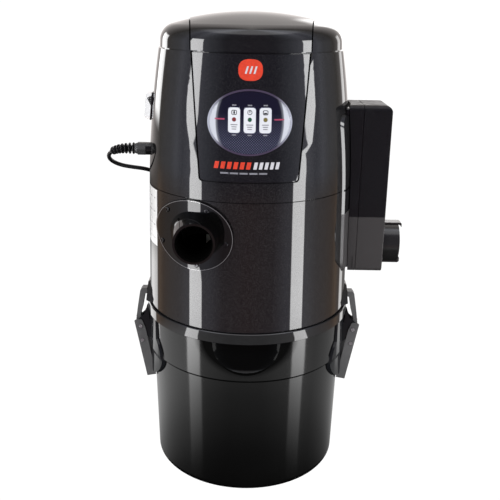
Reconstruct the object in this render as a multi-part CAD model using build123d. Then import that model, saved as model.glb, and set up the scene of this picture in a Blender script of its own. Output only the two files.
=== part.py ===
from build123d import *
import math
import os

# A wall-hang wet and dry canister vacuum, standing on the floor of its dirt tank.
# Frame: origin on the floor at the tank's axis, +Z up, the control panel faces -Y.
# All sizes are in millimetres.

# ------------------------------------------------------------------ driving dimensions
# Dirt tank
TANK_BASE_R = 155.0
TANK_STEP_R = 160.2
TANK_BAND_LOW_R = 163.2
TANK_BAND_TOP_R = 164.6
TANK_EDGE_R = 12.0
TANK_STEP_Z = 206.0
TANK_TOP_Z = 284.2
TANK_WALL = 3.2
RIM_R = 169.4
RIM_LOW_Z = 270.0
RIM_TOP_Z = 287.4
GRIP_HALF_WIDTH = 58.0
GRIP_HEIGHT = 54.0
GRIP_DEPTH = 21.0

# Housings: the lower wall is a slight cone, the upper wall follows one long arc
HOUSING_LOW_Z = 289.0
HOUSING_LOW_R = 165.6
SEAM_Z = 490.0
SEAM_R = 162.0
SEAM_GAP = 1.2
BELLY_RADIUS = 1594.0
BELLY_Z = 451.0
UPPER_TOP_Z = 698.0
WALL = 3.0

# Hood
HOOD_LOW_Z = 699.5
HOOD_TOP_Z = 753.0
HOOD_R = 141.3
HOOD_DOME_RADIUS = 430.0
HOOD_CORNER_R = 26.0
SHOULDER_DROP = 1.6
SHOULDER_GAP = 1.8
CROWN_HALF_FRONT = 81.0
CROWN_HALF_TOP = 95.0

# Front panel and its oval badge
PANEL_LOW_Z = 521.0
PANEL_HALF_LOW = 70.5
PANEL_HALF_TOP = 83.0
PANEL_GAP = 2.4
PANEL_THICK = 3.0
BADGE_Z = 604.7
BADGE_HALF_W = 60.0
BADGE_HALF_H = 46.0
BADGE_RIM = 2.6
WINDOW_W = 17.4
WINDOW_H = 36.0
WINDOW_PITCH = 22.0
WINDOW_Z = 608.0
LED_R = 3.0
LED_Z = 609.0

# Hose inlet
INLET_X = -77.0
INLET_Z = 436.0
INLET_MOUTH_Y = -190.0
INLET_MOUTH_R = 30.7
INLET_BORE_R = 25.5
INLET_FLARE = 0.15
FLANGE_X = -81.9
FLANGE_Z = 435.5
FLANGE_HALF_W = 60.8
FLANGE_HALF_H = 53.4
FLANGE_THICK = 3.6
GASKET_THICK = 0.9
SPOT_FACE = 0.2
SCREW_R = 1.85
SCREW_LENGTH = 9.5

# Exhaust box on the right
BOX_OUTER_X = 220.5
BOX_PARTING_X = 176.5
BOX_HALF_DEPTH = 42.0
BOX_LOW_Z = 347.0
BOX_TOP_Z = 617.5
BOX_WALL = 2.6
BOX_FLOOR_X = 172.0
BOX_OFFSET = 4.5
SADDLE_X = 120.0
SADDLE_HALF_DEPTH = 84.5
SADDLE_LOW_Z = 339.0
SADDLE_TOP_Z = 617.0
SADDLE_BEVEL = 25.5
SADDLE_THICK = 3.4
PORT_Z = 388.0
PORT_R = 33.0
PORT_BORE_R = 26.0
PORT_MOUTH_X = 249.0

# Latches, drawn at the right side and mirrored to the left
PIVOT_X = 183.7
PIVOT_Z = 230.5
LINK_X = 181.6
LINK_Z = 204.2
PIN_R = 2.4
RUNNING = 0.05
LEVER_HALF_W = 13.3
EAR_OUTER_Y = 10.8
EAR_INNER_Y = 8.4
LINK_HALF_W = 8.0
FLANGE_SHEET = 2.4
SHEET = 2.0
KEEPER_X = 168.8
KEEPER_LOW_Z = 290.0

# Rocker switch on the left
SWITCH_Z = 607.0
SWITCH_TILT = 5.8
ROCKER_HALF_W = 8.8
ROCKER_PIVOT_Z = -2.0
ROCKER_REST = 16.0
ROCKER_PIN_R = 1.45

# Wall bracket at the back
BRACKET_Y = 172.0
BRACKET_THICK = 2.5
BRACKET_HALF_W = 120.0
BRACKET_LOW_Z = 575.0
BRACKET_TOP_Z = 695.0
BOLT_X = 105.0
BOLT_Z = (590.0, 680.0)
BOLT_R = 3.5
SHELF_Z = 643.0

# Cable gland and cord
GLAND_Z = 538.0
GLAND_FACE_X = -186.0
CORD_D = 7.0
COIL_X = -20.0
COIL_Y = 222.0
COIL_MEAN_R = 40.0
PLUG_Y = 176.0
PLUG_Z = 10.0
PLUG_BACK_X = 13.0
PLUG_FRONT_X = 47.0

# Motor and filter stack on the axis
DECK_Z = 474.0
SHAFT_R = 4.0
BALL_R = 22.0

BELLY_CENTRE = SEAM_R - math.sqrt(BELLY_RADIUS ** 2 - (SEAM_Z - BELLY_Z) ** 2)

# The cord's route: out of the gland, round a free loop at the left, behind the body and down to the floor.
CORD_ROUTE = [
    (-186.0, 0.0, 538.0),
    (-204.0, 0.0, 538.0),
    (-220.5, 6.6, 533.6),
    (-231.9, 18.4, 525.6),
    (-235.9, 33.2, 515.7),
    (-231.9, 48.0, 505.8),
    (-220.5, 59.8, 497.8),
    (-204.0, 66.4, 493.4),
    (-178.0, 78.0, 488.0),
    (-152.0, 104.0, 472.0),
    (-130.0, 132.0, 440.0),
    (-119.0, 148.0, 392.0),
    (-115.0, 152.0, 335.0),
    (-117.0, 153.0, 275.0),
    (-116.0, 152.0, 215.0),
    (-117.0, 155.0, 157.0),
    (-114.0, 158.0, 104.0),
    (-108.0, 165.0, 60.0),
    (-92.0, 175.0, 27.0),
    (-62.0, 180.0, 6.5),
    (-28.0, 179.2, 3.7),
]


# ------------------------------------------------------------------ shared helpers
def lathe(points, rounds=None):
    """Solid of revolution from (radius, height) corners; rounds maps a corner's index to its radius."""
    face = make_face(Polyline(*points, close=True))
    for index, radius in (rounds or {}).items():
        corner = face.vertices().sort_by_distance((points[index][0], points[index][1], 0))[0]
        face = fillet(corner, radius)
    return revolve(Plane.XZ * face, Axis.Z, 360)


def ring(inner, outer, low, high):
    """Plain ring about the Z axis."""
    return lathe([(inner, low), (outer, low), (outer, high), (inner, high)])


def disc(radius, low, high):
    """Plain disc about the Z axis."""
    return Pos(0, 0, low) * Cylinder(radius, high - low, align=(Align.CENTER, Align.CENTER, Align.MIN))


def block(x_low, x_high, y_low, y_high, z_low, z_high):
    """Box between two corners."""
    size = (x_high - x_low, y_high - y_low, z_high - z_low)
    middle = ((x_low + x_high) / 2, (y_low + y_high) / 2, (z_low + z_high) / 2)
    return Pos(*middle) * Box(*size)


def to_front(sketch, depth=230.0):
    """Prism of an X-Z sketch that runs from the axis plane towards -Y."""
    return extrude(Plane.XZ * sketch, depth)


def slab_xz(points, y_low, y_high):
    """Plate with a polygonal X-Z outline between two Y values."""
    face = make_face(Polyline(*points, close=True))
    return extrude(Plane.XZ.offset(-y_high) * face, y_high - y_low)


def pin_y(x, z, radius, y_low, y_high):
    """Round pin along Y."""
    return extrude(Plane.XZ.offset(-y_high) * (Pos(x, z) * Circle(radius)), y_high - y_low)


def pin_x(y, z, radius, x_low, x_high):
    """Round pin along X."""
    return extrude(Plane.YZ.offset(x_low) * (Pos(y, z) * Circle(radius)), x_high - x_low)


def mirrored(shape):
    """The same piece on the left side."""
    return mirror(shape, about=Plane.YZ)


# ------------------------------------------------------------------ the housing's outside
def housing_r(z):
    """Outside radius of the housings at height z."""
    if z <= SEAM_Z:
        share = (z - HOUSING_LOW_Z) / (SEAM_Z - HOUSING_LOW_Z)
        return HOUSING_LOW_R + (SEAM_R - HOUSING_LOW_R) * share
    return BELLY_CENTRE + math.sqrt(BELLY_RADIUS ** 2 - (z - BELLY_Z) ** 2)


def wall_edge(z_low, z_high, outset):
    """Generating line of the housing's outside, moved out by outset."""
    low = (housing_r(z_low) + outset, 0, z_low)
    high = (housing_r(z_high) + outset, 0, z_high)
    if z_high <= SEAM_Z:
        return Line(low, high)
    z_mid = (z_low + z_high) / 2
    return ThreePointArc(low, (housing_r(z_mid) + outset, 0, z_mid), high)


def skin(z_low, z_high, inset, outset=0.0):
    """Band of wall between two offsets of the housing's outside."""
    outer = wall_edge(z_low, z_high, outset)
    inner = wall_edge(z_low, z_high, -inset)
    top = Line(outer @ 1, inner @ 1)
    foot = Line(inner @ 0, outer @ 0)
    return revolve(make_face([outer, top, inner, foot]), Axis.Z, 360)


def body_core(outset):
    """The whole outside of both housings as one solid, grown by outset."""
    lower = wall_edge(HOUSING_LOW_Z, SEAM_Z, outset)
    upper = wall_edge(SEAM_Z, UPPER_TOP_Z, outset)
    lower_top = Line(lower @ 1, (0, 0, SEAM_Z))
    lower_axis = Line((0, 0, SEAM_Z), (0, 0, HOUSING_LOW_Z))
    lower_foot = Line((0, 0, HOUSING_LOW_Z), lower @ 0)
    below = revolve(make_face([lower, lower_top, lower_axis, lower_foot]), Axis.Z, 360)
    upper_top = Line(upper @ 1, (0, 0, UPPER_TOP_Z))
    upper_axis = Line((0, 0, UPPER_TOP_Z), (0, 0, SEAM_Z))
    upper_foot = Line((0, 0, SEAM_Z), upper @ 0)
    above = revolve(make_face([upper, upper_top, upper_axis, upper_foot]), Axis.Z, 360)
    return below + above


def on_wall(x, z, proud):
    """Frame on the front of the housing at (x, z), z axis pointing radially outwards."""
    radius = housing_r(z)
    y = -math.sqrt(radius ** 2 - x ** 2)
    outwards = Vector(x, y, 0).normalized()
    return Plane(origin=Vector(x, y, z) + outwards * proud, x_dir=(0, 0, 1), z_dir=outwards)


# ------------------------------------------------------------------ dirt tank
def tank_outline():
    """Corners of the tank's outside, from the floor to its top edge."""
    return [
        (0, 0),
        (TANK_BASE_R, 0),
        (TANK_STEP_R, TANK_STEP_Z - 4),
        (TANK_BAND_LOW_R, TANK_STEP_Z),
        (TANK_BAND_TOP_R, TANK_TOP_Z),
        (0, TANK_TOP_Z),
    ]


def grip_scoop(extra):
    """Half-moon finger recess under the rim at the front, grown by extra."""
    radii = (GRIP_HALF_WIDTH + extra, GRIP_DEPTH + extra, GRIP_HEIGHT + extra)
    scoop = scale(Sphere(1), by=radii)
    return Pos(0, -TANK_BAND_TOP_R, RIM_LOW_Z - 0.4) * scoop


def dirt_tank():
    outside = lathe(tank_outline(), {1: TANK_EDGE_R})
    inside_points = [
        (0, TANK_WALL),
        (TANK_BASE_R - TANK_WALL, TANK_WALL),
        (TANK_STEP_R - TANK_WALL, TANK_STEP_Z - 4),
        (TANK_BAND_LOW_R - TANK_WALL, TANK_STEP_Z),
        (TANK_BAND_TOP_R - TANK_WALL, TANK_TOP_Z + 1),
        (0, TANK_TOP_Z + 1),
    ]
    inside = lathe(inside_points, {1: TANK_EDGE_R - TANK_WALL})
    below_rim = block(-200, 200, -200, 0, 100, RIM_LOW_Z - 0.4)
    bulge = (grip_scoop(TANK_WALL) & below_rim) & outside
    roof = block(-GRIP_HALF_WIDTH - 8, GRIP_HALF_WIDTH + 8, -200, -90, RIM_LOW_Z - 0.4, RIM_LOW_Z + 2.6)
    roof_band = ring(TANK_BAND_TOP_R - GRIP_DEPTH - 4, TANK_BAND_TOP_R, RIM_LOW_Z - 2, RIM_LOW_Z + 4)
    roof = roof & roof_band & outside
    shell = (outside - inside) + bulge + roof
    return shell - (grip_scoop(0) & below_rim)


def tank_rim_ring():
    points = [
        (TANK_BAND_TOP_R, RIM_LOW_Z),
        (RIM_R - 0.8, RIM_LOW_Z),
        (RIM_R, RIM_LOW_Z + 0.8),
        (RIM_R, RIM_TOP_Z - 1.0),
        (RIM_R - 1.0, RIM_TOP_Z),
        (TANK_BAND_TOP_R - 4.4, RIM_TOP_Z),
        (TANK_BAND_TOP_R - 4.4, TANK_TOP_Z),
        (TANK_BAND_TOP_R, TANK_TOP_Z),
    ]
    return lathe(points)


def tank_seal():
    return ring(TANK_BAND_TOP_R - 4.0, TANK_BAND_TOP_R - 0.8, RIM_TOP_Z, HOUSING_LOW_Z)


# ------------------------------------------------------------------ housings
def inlet_opening():
    """Clearance hole for the hose inlet, along Y through the front wall."""
    return pin_y(INLET_X, INLET_Z, INLET_BORE_R + 5.5, -230, -60)


def duct_opening(extra=0.0):
    """Passage of the exhaust duct through the right side of the upper housing."""
    return block(120, 190, -20 - extra, 20 + extra, 502 - extra, 528 + extra)


def lower_housing():
    top = SEAM_Z - SEAM_GAP / 2
    shell = skin(HOUSING_LOW_Z, top, WALL)
    foot_lip = ring(HOUSING_LOW_R - 9, HOUSING_LOW_R - 1.5, HOUSING_LOW_Z, HOUSING_LOW_Z + 3)
    skirt = ring(HOUSING_LOW_R - 9, HOUSING_LOW_R - 6.5, HOUSING_LOW_Z - 12, HOUSING_LOW_Z + 3)
    upstand = lathe([
        (SEAM_R - 9, DECK_Z - 6),
        (SEAM_R - 1.5, DECK_Z - 6),
        (SEAM_R - 1.5, top - 6),
        (SEAM_R - WALL - 0.3, top),
        (SEAM_R - WALL - 0.3, SEAM_Z + 8),
        (SEAM_R - WALL - 2.6, SEAM_Z + 8),
        (SEAM_R - WALL - 2.6, DECK_Z),
        (SEAM_R - 9, DECK_Z),
    ])
    whole = shell + foot_lip + skirt + (upstand & body_core(-0.5))
    return whole - inlet_opening() - inlet_screw_holes(SCREW_R)


def panel_sketch(grow):
    """Trapezoid of the front panel, widened all round by grow."""
    slope = (PANEL_HALF_TOP - PANEL_HALF_LOW) / (UPPER_TOP_Z - PANEL_LOW_Z)
    half_low = PANEL_HALF_LOW + grow - slope * grow
    half_top = PANEL_HALF_TOP + grow + slope * 30
    top_z = UPPER_TOP_Z + 30
    low_z = PANEL_LOW_Z - grow
    corners = [(-half_low, low_z), (half_low, low_z), (half_top, top_z), (-half_top, top_z)]
    face = make_face(Polyline(*corners, close=True))
    lowest = face.vertices().group_by(Axis.Y)[0]
    return fillet(lowest, max(3.0 + grow, 1.0))


def upper_housing():
    low = SEAM_Z + SEAM_GAP / 2
    shell = skin(low, UPPER_TOP_Z, WALL)
    top_r = housing_r(UPPER_TOP_Z)
    top_lip = lathe([
        (top_r - 9, UPPER_TOP_Z - 4),
        (top_r - 1, UPPER_TOP_Z - 4),
        (top_r - 1, UPPER_TOP_Z),
        (HOOD_R - WALL - 0.4, UPPER_TOP_Z),
        (HOOD_R - WALL - 0.4, HOOD_LOW_Z + 5),
        (HOOD_R - WALL - 2.6, HOOD_LOW_Z + 5),
        (HOOD_R - WALL - 2.6, UPPER_TOP_Z),
        (top_r - 9, UPPER_TOP_Z),
    ])
    seat_depth = PANEL_THICK + 0.5
    frame_zone = to_front(panel_sketch(7.0))
    frame_band = skin(low, UPPER_TOP_Z - 4, seat_depth + 3.0, -WALL + 0.2)
    frame = frame_band & frame_zone
    pocket = skin(low, UPPER_TOP_Z - 0.01, seat_depth, 2.0) & to_front(panel_sketch(PANEL_GAP))
    window = skin(low, UPPER_TOP_Z - 12, seat_depth + 6.0, 2.0) & to_front(panel_sketch(-6.0))
    solid = shell + top_lip + frame - pocket - window
    switch_hole = switch_plane() * Box(21.4, 38.0, 40)
    gland_hole = pin_x(0, GLAND_Z, 8.1, -190, -120)
    return solid - switch_hole - gland_hole - duct_opening()


def motor_deck():
    deck = disc(SEAM_R - WALL - 4.0, DECK_Z, DECK_Z + 6)
    stiffener = ring(78, 81, DECK_Z + 5, DECK_Z + 16)
    return deck + stiffener - disc(30, DECK_Z - 1, DECK_Z + 8)


# ------------------------------------------------------------------ hood
def hood_solid(inset):
    """Solid of the hood's outside moved inwards by inset."""
    dome_radius = HOOD_DOME_RADIUS - inset
    centre_z = HOOD_TOP_Z - HOOD_DOME_RADIUS
    wall_low = HOOD_R - inset
    wall_top = HOOD_R - 1.4 - inset
    corner_z = centre_z + math.sqrt(dome_radius ** 2 - wall_top ** 2)
    half_way = wall_top / 2
    middle = (half_way, centre_z + math.sqrt(dome_radius ** 2 - half_way ** 2))
    outline = [
        Line((0, HOOD_LOW_Z), (wall_low, HOOD_LOW_Z)),
        Line((wall_low, HOOD_LOW_Z), (wall_top, corner_z)),
        ThreePointArc((wall_top, corner_z), middle, (0, centre_z + dome_radius)),
        Line((0, centre_z + dome_radius), (0, HOOD_LOW_Z)),
    ]
    face = make_face(outline)
    corner = face.vertices().sort_by_distance((wall_top, corner_z, 0))[0]
    face = fillet(corner, HOOD_CORNER_R - inset)
    return revolve(Plane.XZ * face, Axis.Z, 360)


def crown_zone(grow):
    """Plan outline of the crown, which widens from the panel's top towards the axis."""
    corners = [
        (-CROWN_HALF_FRONT - grow, -160),
        (CROWN_HALF_FRONT + grow, -160),
        (CROWN_HALF_TOP + grow, 0),
        (CROWN_HALF_TOP + grow, 160),
        (-CROWN_HALF_TOP - grow, 160),
        (-CROWN_HALF_TOP - grow, 0),
    ]
    face = make_face(Polyline(*corners, close=True))
    return extrude(Plane.XY.offset(HOOD_LOW_Z - 20) * face, 100)


def hood_crown():
    return (hood_solid(0) - hood_solid(WALL)) & crown_zone(0)


def hood_shoulder_right():
    lowered = Pos(0, 0, -SHOULDER_DROP) * (hood_solid(0) - hood_solid(WALL))
    above = block(0, 200, -200, 200, HOOD_LOW_Z, HOOD_TOP_Z)
    return (lowered & above) - crown_zone(SHOULDER_GAP)


def hood_shoulder_left():
    return mirrored(hood_shoulder_right())


# ------------------------------------------------------------------ front panel and badge
def oval(grow):
    """Oval of the badge in the X-Z plane."""
    return Pos(0, BADGE_Z) * Ellipse(BADGE_HALF_W + grow, BADGE_HALF_H + grow)


def front_panel():
    plate = skin(PANEL_LOW_Z - 5, UPPER_TOP_Z - 0.9, PANEL_THICK) & to_front(panel_sketch(0.0))
    recess = skin(BADGE_Z - 60, BADGE_Z + 60, 1.2, 2.0) & to_front(oval(0.0))
    return plate - recess - led_holes(LED_R + 0.05)


def led_holes(radius):
    """Three round holes along Y at the indicator lamps."""
    holes = [pin_y(x, LED_Z, radius, -200, -120) for x in (-WINDOW_PITCH, 0, WINDOW_PITCH)]
    return holes[0] + holes[1] + holes[2]


def badge_bezel():
    band = skin(BADGE_Z - 60, BADGE_Z + 60, 1.2, 1.6)
    return band & (to_front(oval(0.0)) - to_front(oval(-BADGE_RIM)))


def badge_face():
    band = skin(BADGE_Z - 60, BADGE_Z + 60, 1.2, 0.3)
    return (band & to_front(oval(-BADGE_RIM))) - led_holes(LED_R + 0.05)


def window_sketch(x):
    return Pos(x, WINDOW_Z) * RectangleRounded(WINDOW_W, WINDOW_H, 4.0)


def indicator_windows():
    band = skin(BADGE_Z - 60, BADGE_Z + 60, -0.3, 0.9)
    plates = [band & to_front(window_sketch(x)) for x in (-WINDOW_PITCH, 0, WINDOW_PITCH)]
    return Compound([(plate - led_holes(LED_R + 0.05)).solid() for plate in plates])


def indicator_leds():
    lamps = []
    for x in (-WINDOW_PITCH, 0, WINDOW_PITCH):
        front_y = -math.sqrt((housing_r(LED_Z) + 1.4) ** 2 - x ** 2)
        lamp = pin_y(x, LED_Z, LED_R, front_y, -142.0)
        rim = lamp.edges().group_by(Axis.Y)[0]
        lamps.append(fillet(rim, 0.8).solid())
    return Compound(lamps)


def indicator_board():
    return block(-36, 36, -142.0, -140.4, LED_Z - 22, LED_Z + 22)


# ------------------------------------------------------------------ hose inlet
def flange_sketch(grow):
    return Pos(FLANGE_X, FLANGE_Z) * Ellipse(FLANGE_HALF_W + grow, FLANGE_HALF_H + grow)


def inlet_gasket():
    band = skin(FLANGE_Z - 70, SEAM_Z - 0.01, 0.0, GASKET_THICK)
    return (band & to_front(flange_sketch(-1.2))) - inlet_opening() - inlet_screw_holes(SCREW_R + 0.05)


def inlet_screw_planes():
    """Frames of the five flange screws, evenly spread round the oval flange."""
    planes = []
    for index in range(5):
        angle = math.radians(63 + 72 * index)
        x = FLANGE_X + 0.84 * FLANGE_HALF_W * math.cos(angle)
        z = FLANGE_Z + 0.84 * FLANGE_HALF_H * math.sin(angle)
        planes.append(on_wall(x, z, GASKET_THICK + FLANGE_THICK - SPOT_FACE))
    return planes


def inlet_screw_holes(radius):
    """Five holes along the flange screws, as one tool."""
    holes = [plane * Cylinder(radius, 2 * SCREW_LENGTH + 2) for plane in inlet_screw_planes()]
    return holes[0] + holes[1:]


def hose_inlet():
    outset = GASKET_THICK + FLANGE_THICK
    lower = skin(FLANGE_Z - 70, SEAM_Z - 0.01, -GASKET_THICK, outset)
    flange = lower & to_front(flange_sketch(0.0))
    flare_back = -96.0
    back_r = INLET_MOUTH_R + INLET_FLARE * (flare_back - INLET_MOUTH_Y - 5)
    lip_y = INLET_MOUTH_Y + 5
    cone_plane = Plane(origin=(INLET_X, flare_back, INLET_Z), x_dir=(1, 0, 0), z_dir=(0, -1, 0))
    length = flare_back - lip_y
    cone = cone_plane * Cone(back_r, INLET_MOUTH_R, length, align=(Align.CENTER, Align.CENTER, Align.MIN))
    lip = pin_y(INLET_X, INLET_Z, INLET_MOUTH_R, INLET_MOUTH_Y, lip_y)
    outside_only = to_front(Pos(0, INLET_Z) * Rectangle(400, 200)) - body_core(GASKET_THICK)
    nozzle = (cone & outside_only) + lip
    sleeve = pin_y(INLET_X, INLET_Z, INLET_BORE_R + 3.5, -165, -112)
    part = flange + nozzle + sleeve
    part = part - pin_y(INLET_X, INLET_Z, INLET_BORE_R, -230, -60)
    mouth = Plane(origin=(INLET_X, INLET_MOUTH_Y, INLET_Z), x_dir=(1, 0, 0), z_dir=(0, 1, 0))
    bevel = mouth * Cone(INLET_BORE_R + 2.0, INLET_BORE_R, 4.0, align=(Align.CENTER, Align.CENTER, Align.MIN))
    part = part - bevel
    for plane in inlet_screw_planes():
        part = part - plane * (Pos(0, 0, 1.5) * Cylinder(4.0, 3))
    return part - inlet_screw_holes(SCREW_R + 0.05)


def pan_head(plane, radius, height, shank, length):
    """Pan-head screw with a cross recess, its head on top of the plane."""
    base = (Align.CENTER, Align.CENTER, Align.MIN)
    head = Cylinder(radius, height, align=base)
    head = fillet(head.edges().group_by(Axis.Z)[-1], height * 0.45)
    body = head + Pos(0, 0, -length) * Cylinder(shank, length + 0.1, align=base)
    slot = Pos(0, 0, height - 0.9) * Box(radius * 1.2, 0.9, 2, align=base)
    cross = Pos(0, 0, height - 0.9) * Box(0.9, radius * 1.2, 2, align=base)
    return plane * (body - slot - cross)


def inlet_screws():
    screws = [pan_head(plane, 3.7, 2.2, SCREW_R, SCREW_LENGTH) for plane in inlet_screw_planes()]
    return Compound([screw.solid() for screw in screws])


def inlet_elbow():
    """Deflector elbow that turns the incoming air downwards into the tank."""
    bend = 36.0
    outer_r = INLET_BORE_R + 3.5
    start = Plane(origin=(INLET_X, -112, INLET_Z), x_dir=(1, 0, 0), z_dir=(0, 1, 0))
    section = Circle(outer_r) - Circle(outer_r - 2.6)
    axis = Axis((INLET_X, -112, INLET_Z - bend), (1, 0, 0))
    return revolve(start * section, axis, -80)


# ------------------------------------------------------------------ exhaust box
def box_solid(x_low, x_high, inset):
    """Rounded upright box between two X values, shrunk all round by inset."""
    depth = 2 * (BOX_HALF_DEPTH - inset)
    height = BOX_TOP_Z - BOX_LOW_Z - 2 * inset
    centre_z = (BOX_TOP_Z + BOX_LOW_Z) / 2
    sketch = Pos(0, centre_z) * RectangleRounded(depth, height, max(9.0 - inset, 2.0))
    return extrude(Plane.YZ.offset(x_low) * sketch, x_high - x_low)


def side_box_saddle():
    """Bevelled pad round the box's foot, with a land that carries the box."""
    outline = Pos(0, (SADDLE_TOP_Z + SADDLE_LOW_Z) / 2) * RectangleRounded(
        2 * SADDLE_HALF_DEPTH, SADDLE_TOP_Z - SADDLE_LOW_Z, 16.0
    )
    zone = extrude(Plane.YZ.offset(SADDLE_X) * outline, 60, taper=SADDLE_BEVEL)
    pad = zone & (body_core(SADDLE_THICK) - body_core(0.0))
    groove = ring(100, 200, SEAM_Z - 1.6, SEAM_Z + 1.6) - body_core(SADDLE_THICK - 1.4)
    land = box_solid(100, 170, 5.0) & (body_core(BOX_OFFSET) - body_core(0.0))
    return (pad - groove) + land - duct_opening()


def side_box_base():
    gap = 0.4
    outside = box_solid(100, BOX_PARTING_X - gap, 0.0)
    cavity = box_solid(BOX_FLOOR_X, BOX_PARTING_X, BOX_WALL)
    notch = block(150, BOX_FLOOR_X, -BOX_HALF_DEPTH - 1, 1.5 - BOX_HALF_DEPTH, BOX_LOW_Z - 1, BOX_LOW_Z + 26)
    return outside - body_core(BOX_OFFSET) - cavity - notch - duct_opening()


def side_box_cover():
    """Outer half: rounded at its top, nearly square at its upright edges."""
    gap = 0.4
    corners = [(140, BOX_LOW_Z), (BOX_OUTER_X, BOX_LOW_Z), (BOX_OUTER_X, BOX_TOP_Z), (140, BOX_TOP_Z)]
    face = make_face(Polyline(*corners, close=True))
    face = fillet(face.vertices().sort_by_distance((BOX_OUTER_X, BOX_TOP_Z, 0))[0], 11.0)
    face = fillet(face.vertices().sort_by_distance((BOX_OUTER_X, BOX_LOW_Z, 0))[0], 4.0)
    front_view = extrude(Plane.XZ.offset(-60) * face, 120)
    squared = box_solid(BOX_PARTING_X + gap, BOX_OUTER_X, 0.0)
    upright = squared.edges().filter_by(Axis.Z).sort_by(Axis.X)[-2:]
    outside = fillet(upright, 1.5) & front_view
    cavity = box_solid(BOX_PARTING_X, BOX_OUTER_X - 11, BOX_WALL)
    cavity = cavity + (box_solid(BOX_PARTING_X, BOX_OUTER_X - BOX_WALL, BOX_WALL) & block(100, 300, -60, 60, 340, 604))
    hole = pin_x(0, PORT_Z, PORT_BORE_R + 3.2, BOX_OUTER_X - 12, BOX_OUTER_X + 5)
    return outside - cavity - hole


def blower_port():
    collar = pin_x(0, PORT_Z, PORT_R + 1.6, BOX_OUTER_X, BOX_OUTER_X + 5)
    tube = pin_x(0, PORT_Z, PORT_R, BOX_OUTER_X, PORT_MOUTH_X)
    spigot = pin_x(0, PORT_Z, PORT_BORE_R + 3.2, BOX_OUTER_X - 10, BOX_OUTER_X + 1)
    root = PORT_Z + PORT_R - 1.5
    ear = [
        (BOX_OUTER_X + 4, root),
        (BOX_OUTER_X + 4, root + 3.2),
        (PORT_MOUTH_X + 3.0, root + 3.2),
        (PORT_MOUTH_X + 5.6, root + 1.2),
        (PORT_MOUTH_X + 5.6, root - 5.0),
        (PORT_MOUTH_X + 3.4, root - 1.4),
        (PORT_MOUTH_X - 1.0, root),
    ]
    upper_ear = slab_xz(ear, -9, 9)
    lower_ear = Pos(0, 0, PORT_Z) * mirror(Pos(0, 0, -PORT_Z) * upper_ear, about=Plane.XY)
    mouth = Plane(origin=(PORT_MOUTH_X, 0, PORT_Z), x_dir=(0, 1, 0), z_dir=(-1, 0, 0))
    bevel = mouth * Cone(PORT_BORE_R + 2.5, PORT_BORE_R, 5.0, align=(Align.CENTER, Align.CENTER, Align.MIN))
    solid = collar + tube + spigot + upper_ear + lower_ear
    return solid - pin_x(0, PORT_Z, PORT_BORE_R, BOX_OUTER_X - 15, PORT_MOUTH_X + 1) - bevel


def muffler_foam():
    inset = BOX_WALL + 0.3
    foam = box_solid(BOX_PARTING_X + 2, BOX_OUTER_X - BOX_WALL - 6, inset)
    return foam & block(150, 230, -60, 60, PORT_Z + 46, 603.6)


def exhaust_duct():
    outer = block(71.5, 166.0, -19.7, 19.7, 502.3, 527.7)
    inner = block(60, 170, -17.5, 17.5, 504.5, 525.5)
    return outer - inner - disc(72.0, 480, 560)


# ------------------------------------------------------------------ rocker switch
def switch_plane():
    """Frame on the left wall: local z points outwards, local y runs up the wall."""
    tilt = math.radians(SWITCH_TILT)
    outwards = Vector(-math.cos(tilt), 0, math.sin(tilt))
    origin = Vector(-(housing_r(SWITCH_Z) + 0.5), 0, SWITCH_Z)
    return Plane(origin=origin, x_dir=(0, -1, 0), z_dir=outwards)


def switch_bezel():
    flange = Pos(0, 0, 1.0) * Box(24, 43, 2.0)
    tube = Pos(0, 0, -7) * Box(21.0, 37.4, 14)
    opening = Pos(0, 0, -6) * Box(18.4, 34.6, 20)
    pivots = Pos(0, 0, ROCKER_PIVOT_Z) * (Rot(0, 90, 0) * Cylinder(ROCKER_PIN_R + RUNNING, 30))
    return switch_plane() * (flange + tube - opening - pivots)


def switch_rocker():
    """Rocker at rest with its upper half standing out, tilted about its pivot."""
    front = [(-14.4, 7.5), (0.0, 3.6), (14.4, 7.5)]
    back = [(16.2, 2.0), (15.4, -4.5), (0.0, -8.5), (-15.4, -4.5), (-16.2, 2.0)]
    outline = front + back
    across = Plane(origin=(-ROCKER_HALF_W, 0, 0), x_dir=(0, 1, 0), z_dir=(1, 0, 0))
    paddle = extrude(across * make_face(Polyline(*outline, close=True)), 2 * ROCKER_HALF_W)
    pivot = Rot(0, 90, 0) * Cylinder(ROCKER_PIN_R, 2 * ROCKER_HALF_W + 3.0)
    tilted = Rot(ROCKER_REST, 0, 0) * (paddle + pivot)
    return switch_plane() * (Pos(0, 0, ROCKER_PIVOT_Z) * tilted)


def switch_boot():
    """Clear waterproof cover over the rocker."""
    outer = Pos(0, 0, 6.6) * Box(22.4, 40.4, 9.2)
    outer = fillet(outer.edges().group_by(Axis.Z)[-1], 2.5)
    inner = Pos(0, 0, 5.2) * Box(20.4, 38.4, 10.4)
    return switch_plane() * (outer - inner)


# ------------------------------------------------------------------ cable gland, cord and plug
def gland_body():
    collar = pin_x(0, GLAND_Z, 10.2, -168, -150) - body_core(0.0)
    thread = pin_x(0, GLAND_Z, 8.0, -168, -146)
    lock_nut = extrude(Plane.YZ.offset(-155.5) * (Pos(0, GLAND_Z) * RegularPolygon(11.5, 6)), 5.0)
    return collar + thread + lock_nut


def gland_nut():
    hexagon = extrude(Plane.YZ.offset(-181) * (Pos(0, GLAND_Z) * RegularPolygon(11.2, 6)), 13.0)
    rounded = pin_x(0, GLAND_Z, 10.8, -181, -168)
    nose_plane = Plane(origin=(-181, 0, GLAND_Z), x_dir=(0, 1, 0), z_dir=(-1, 0, 0))
    nose = nose_plane * Cone(9.6, 7.6, 5.0, align=(Align.CENTER, Align.CENTER, Align.MIN))
    return (hexagon & rounded) + nose


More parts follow.
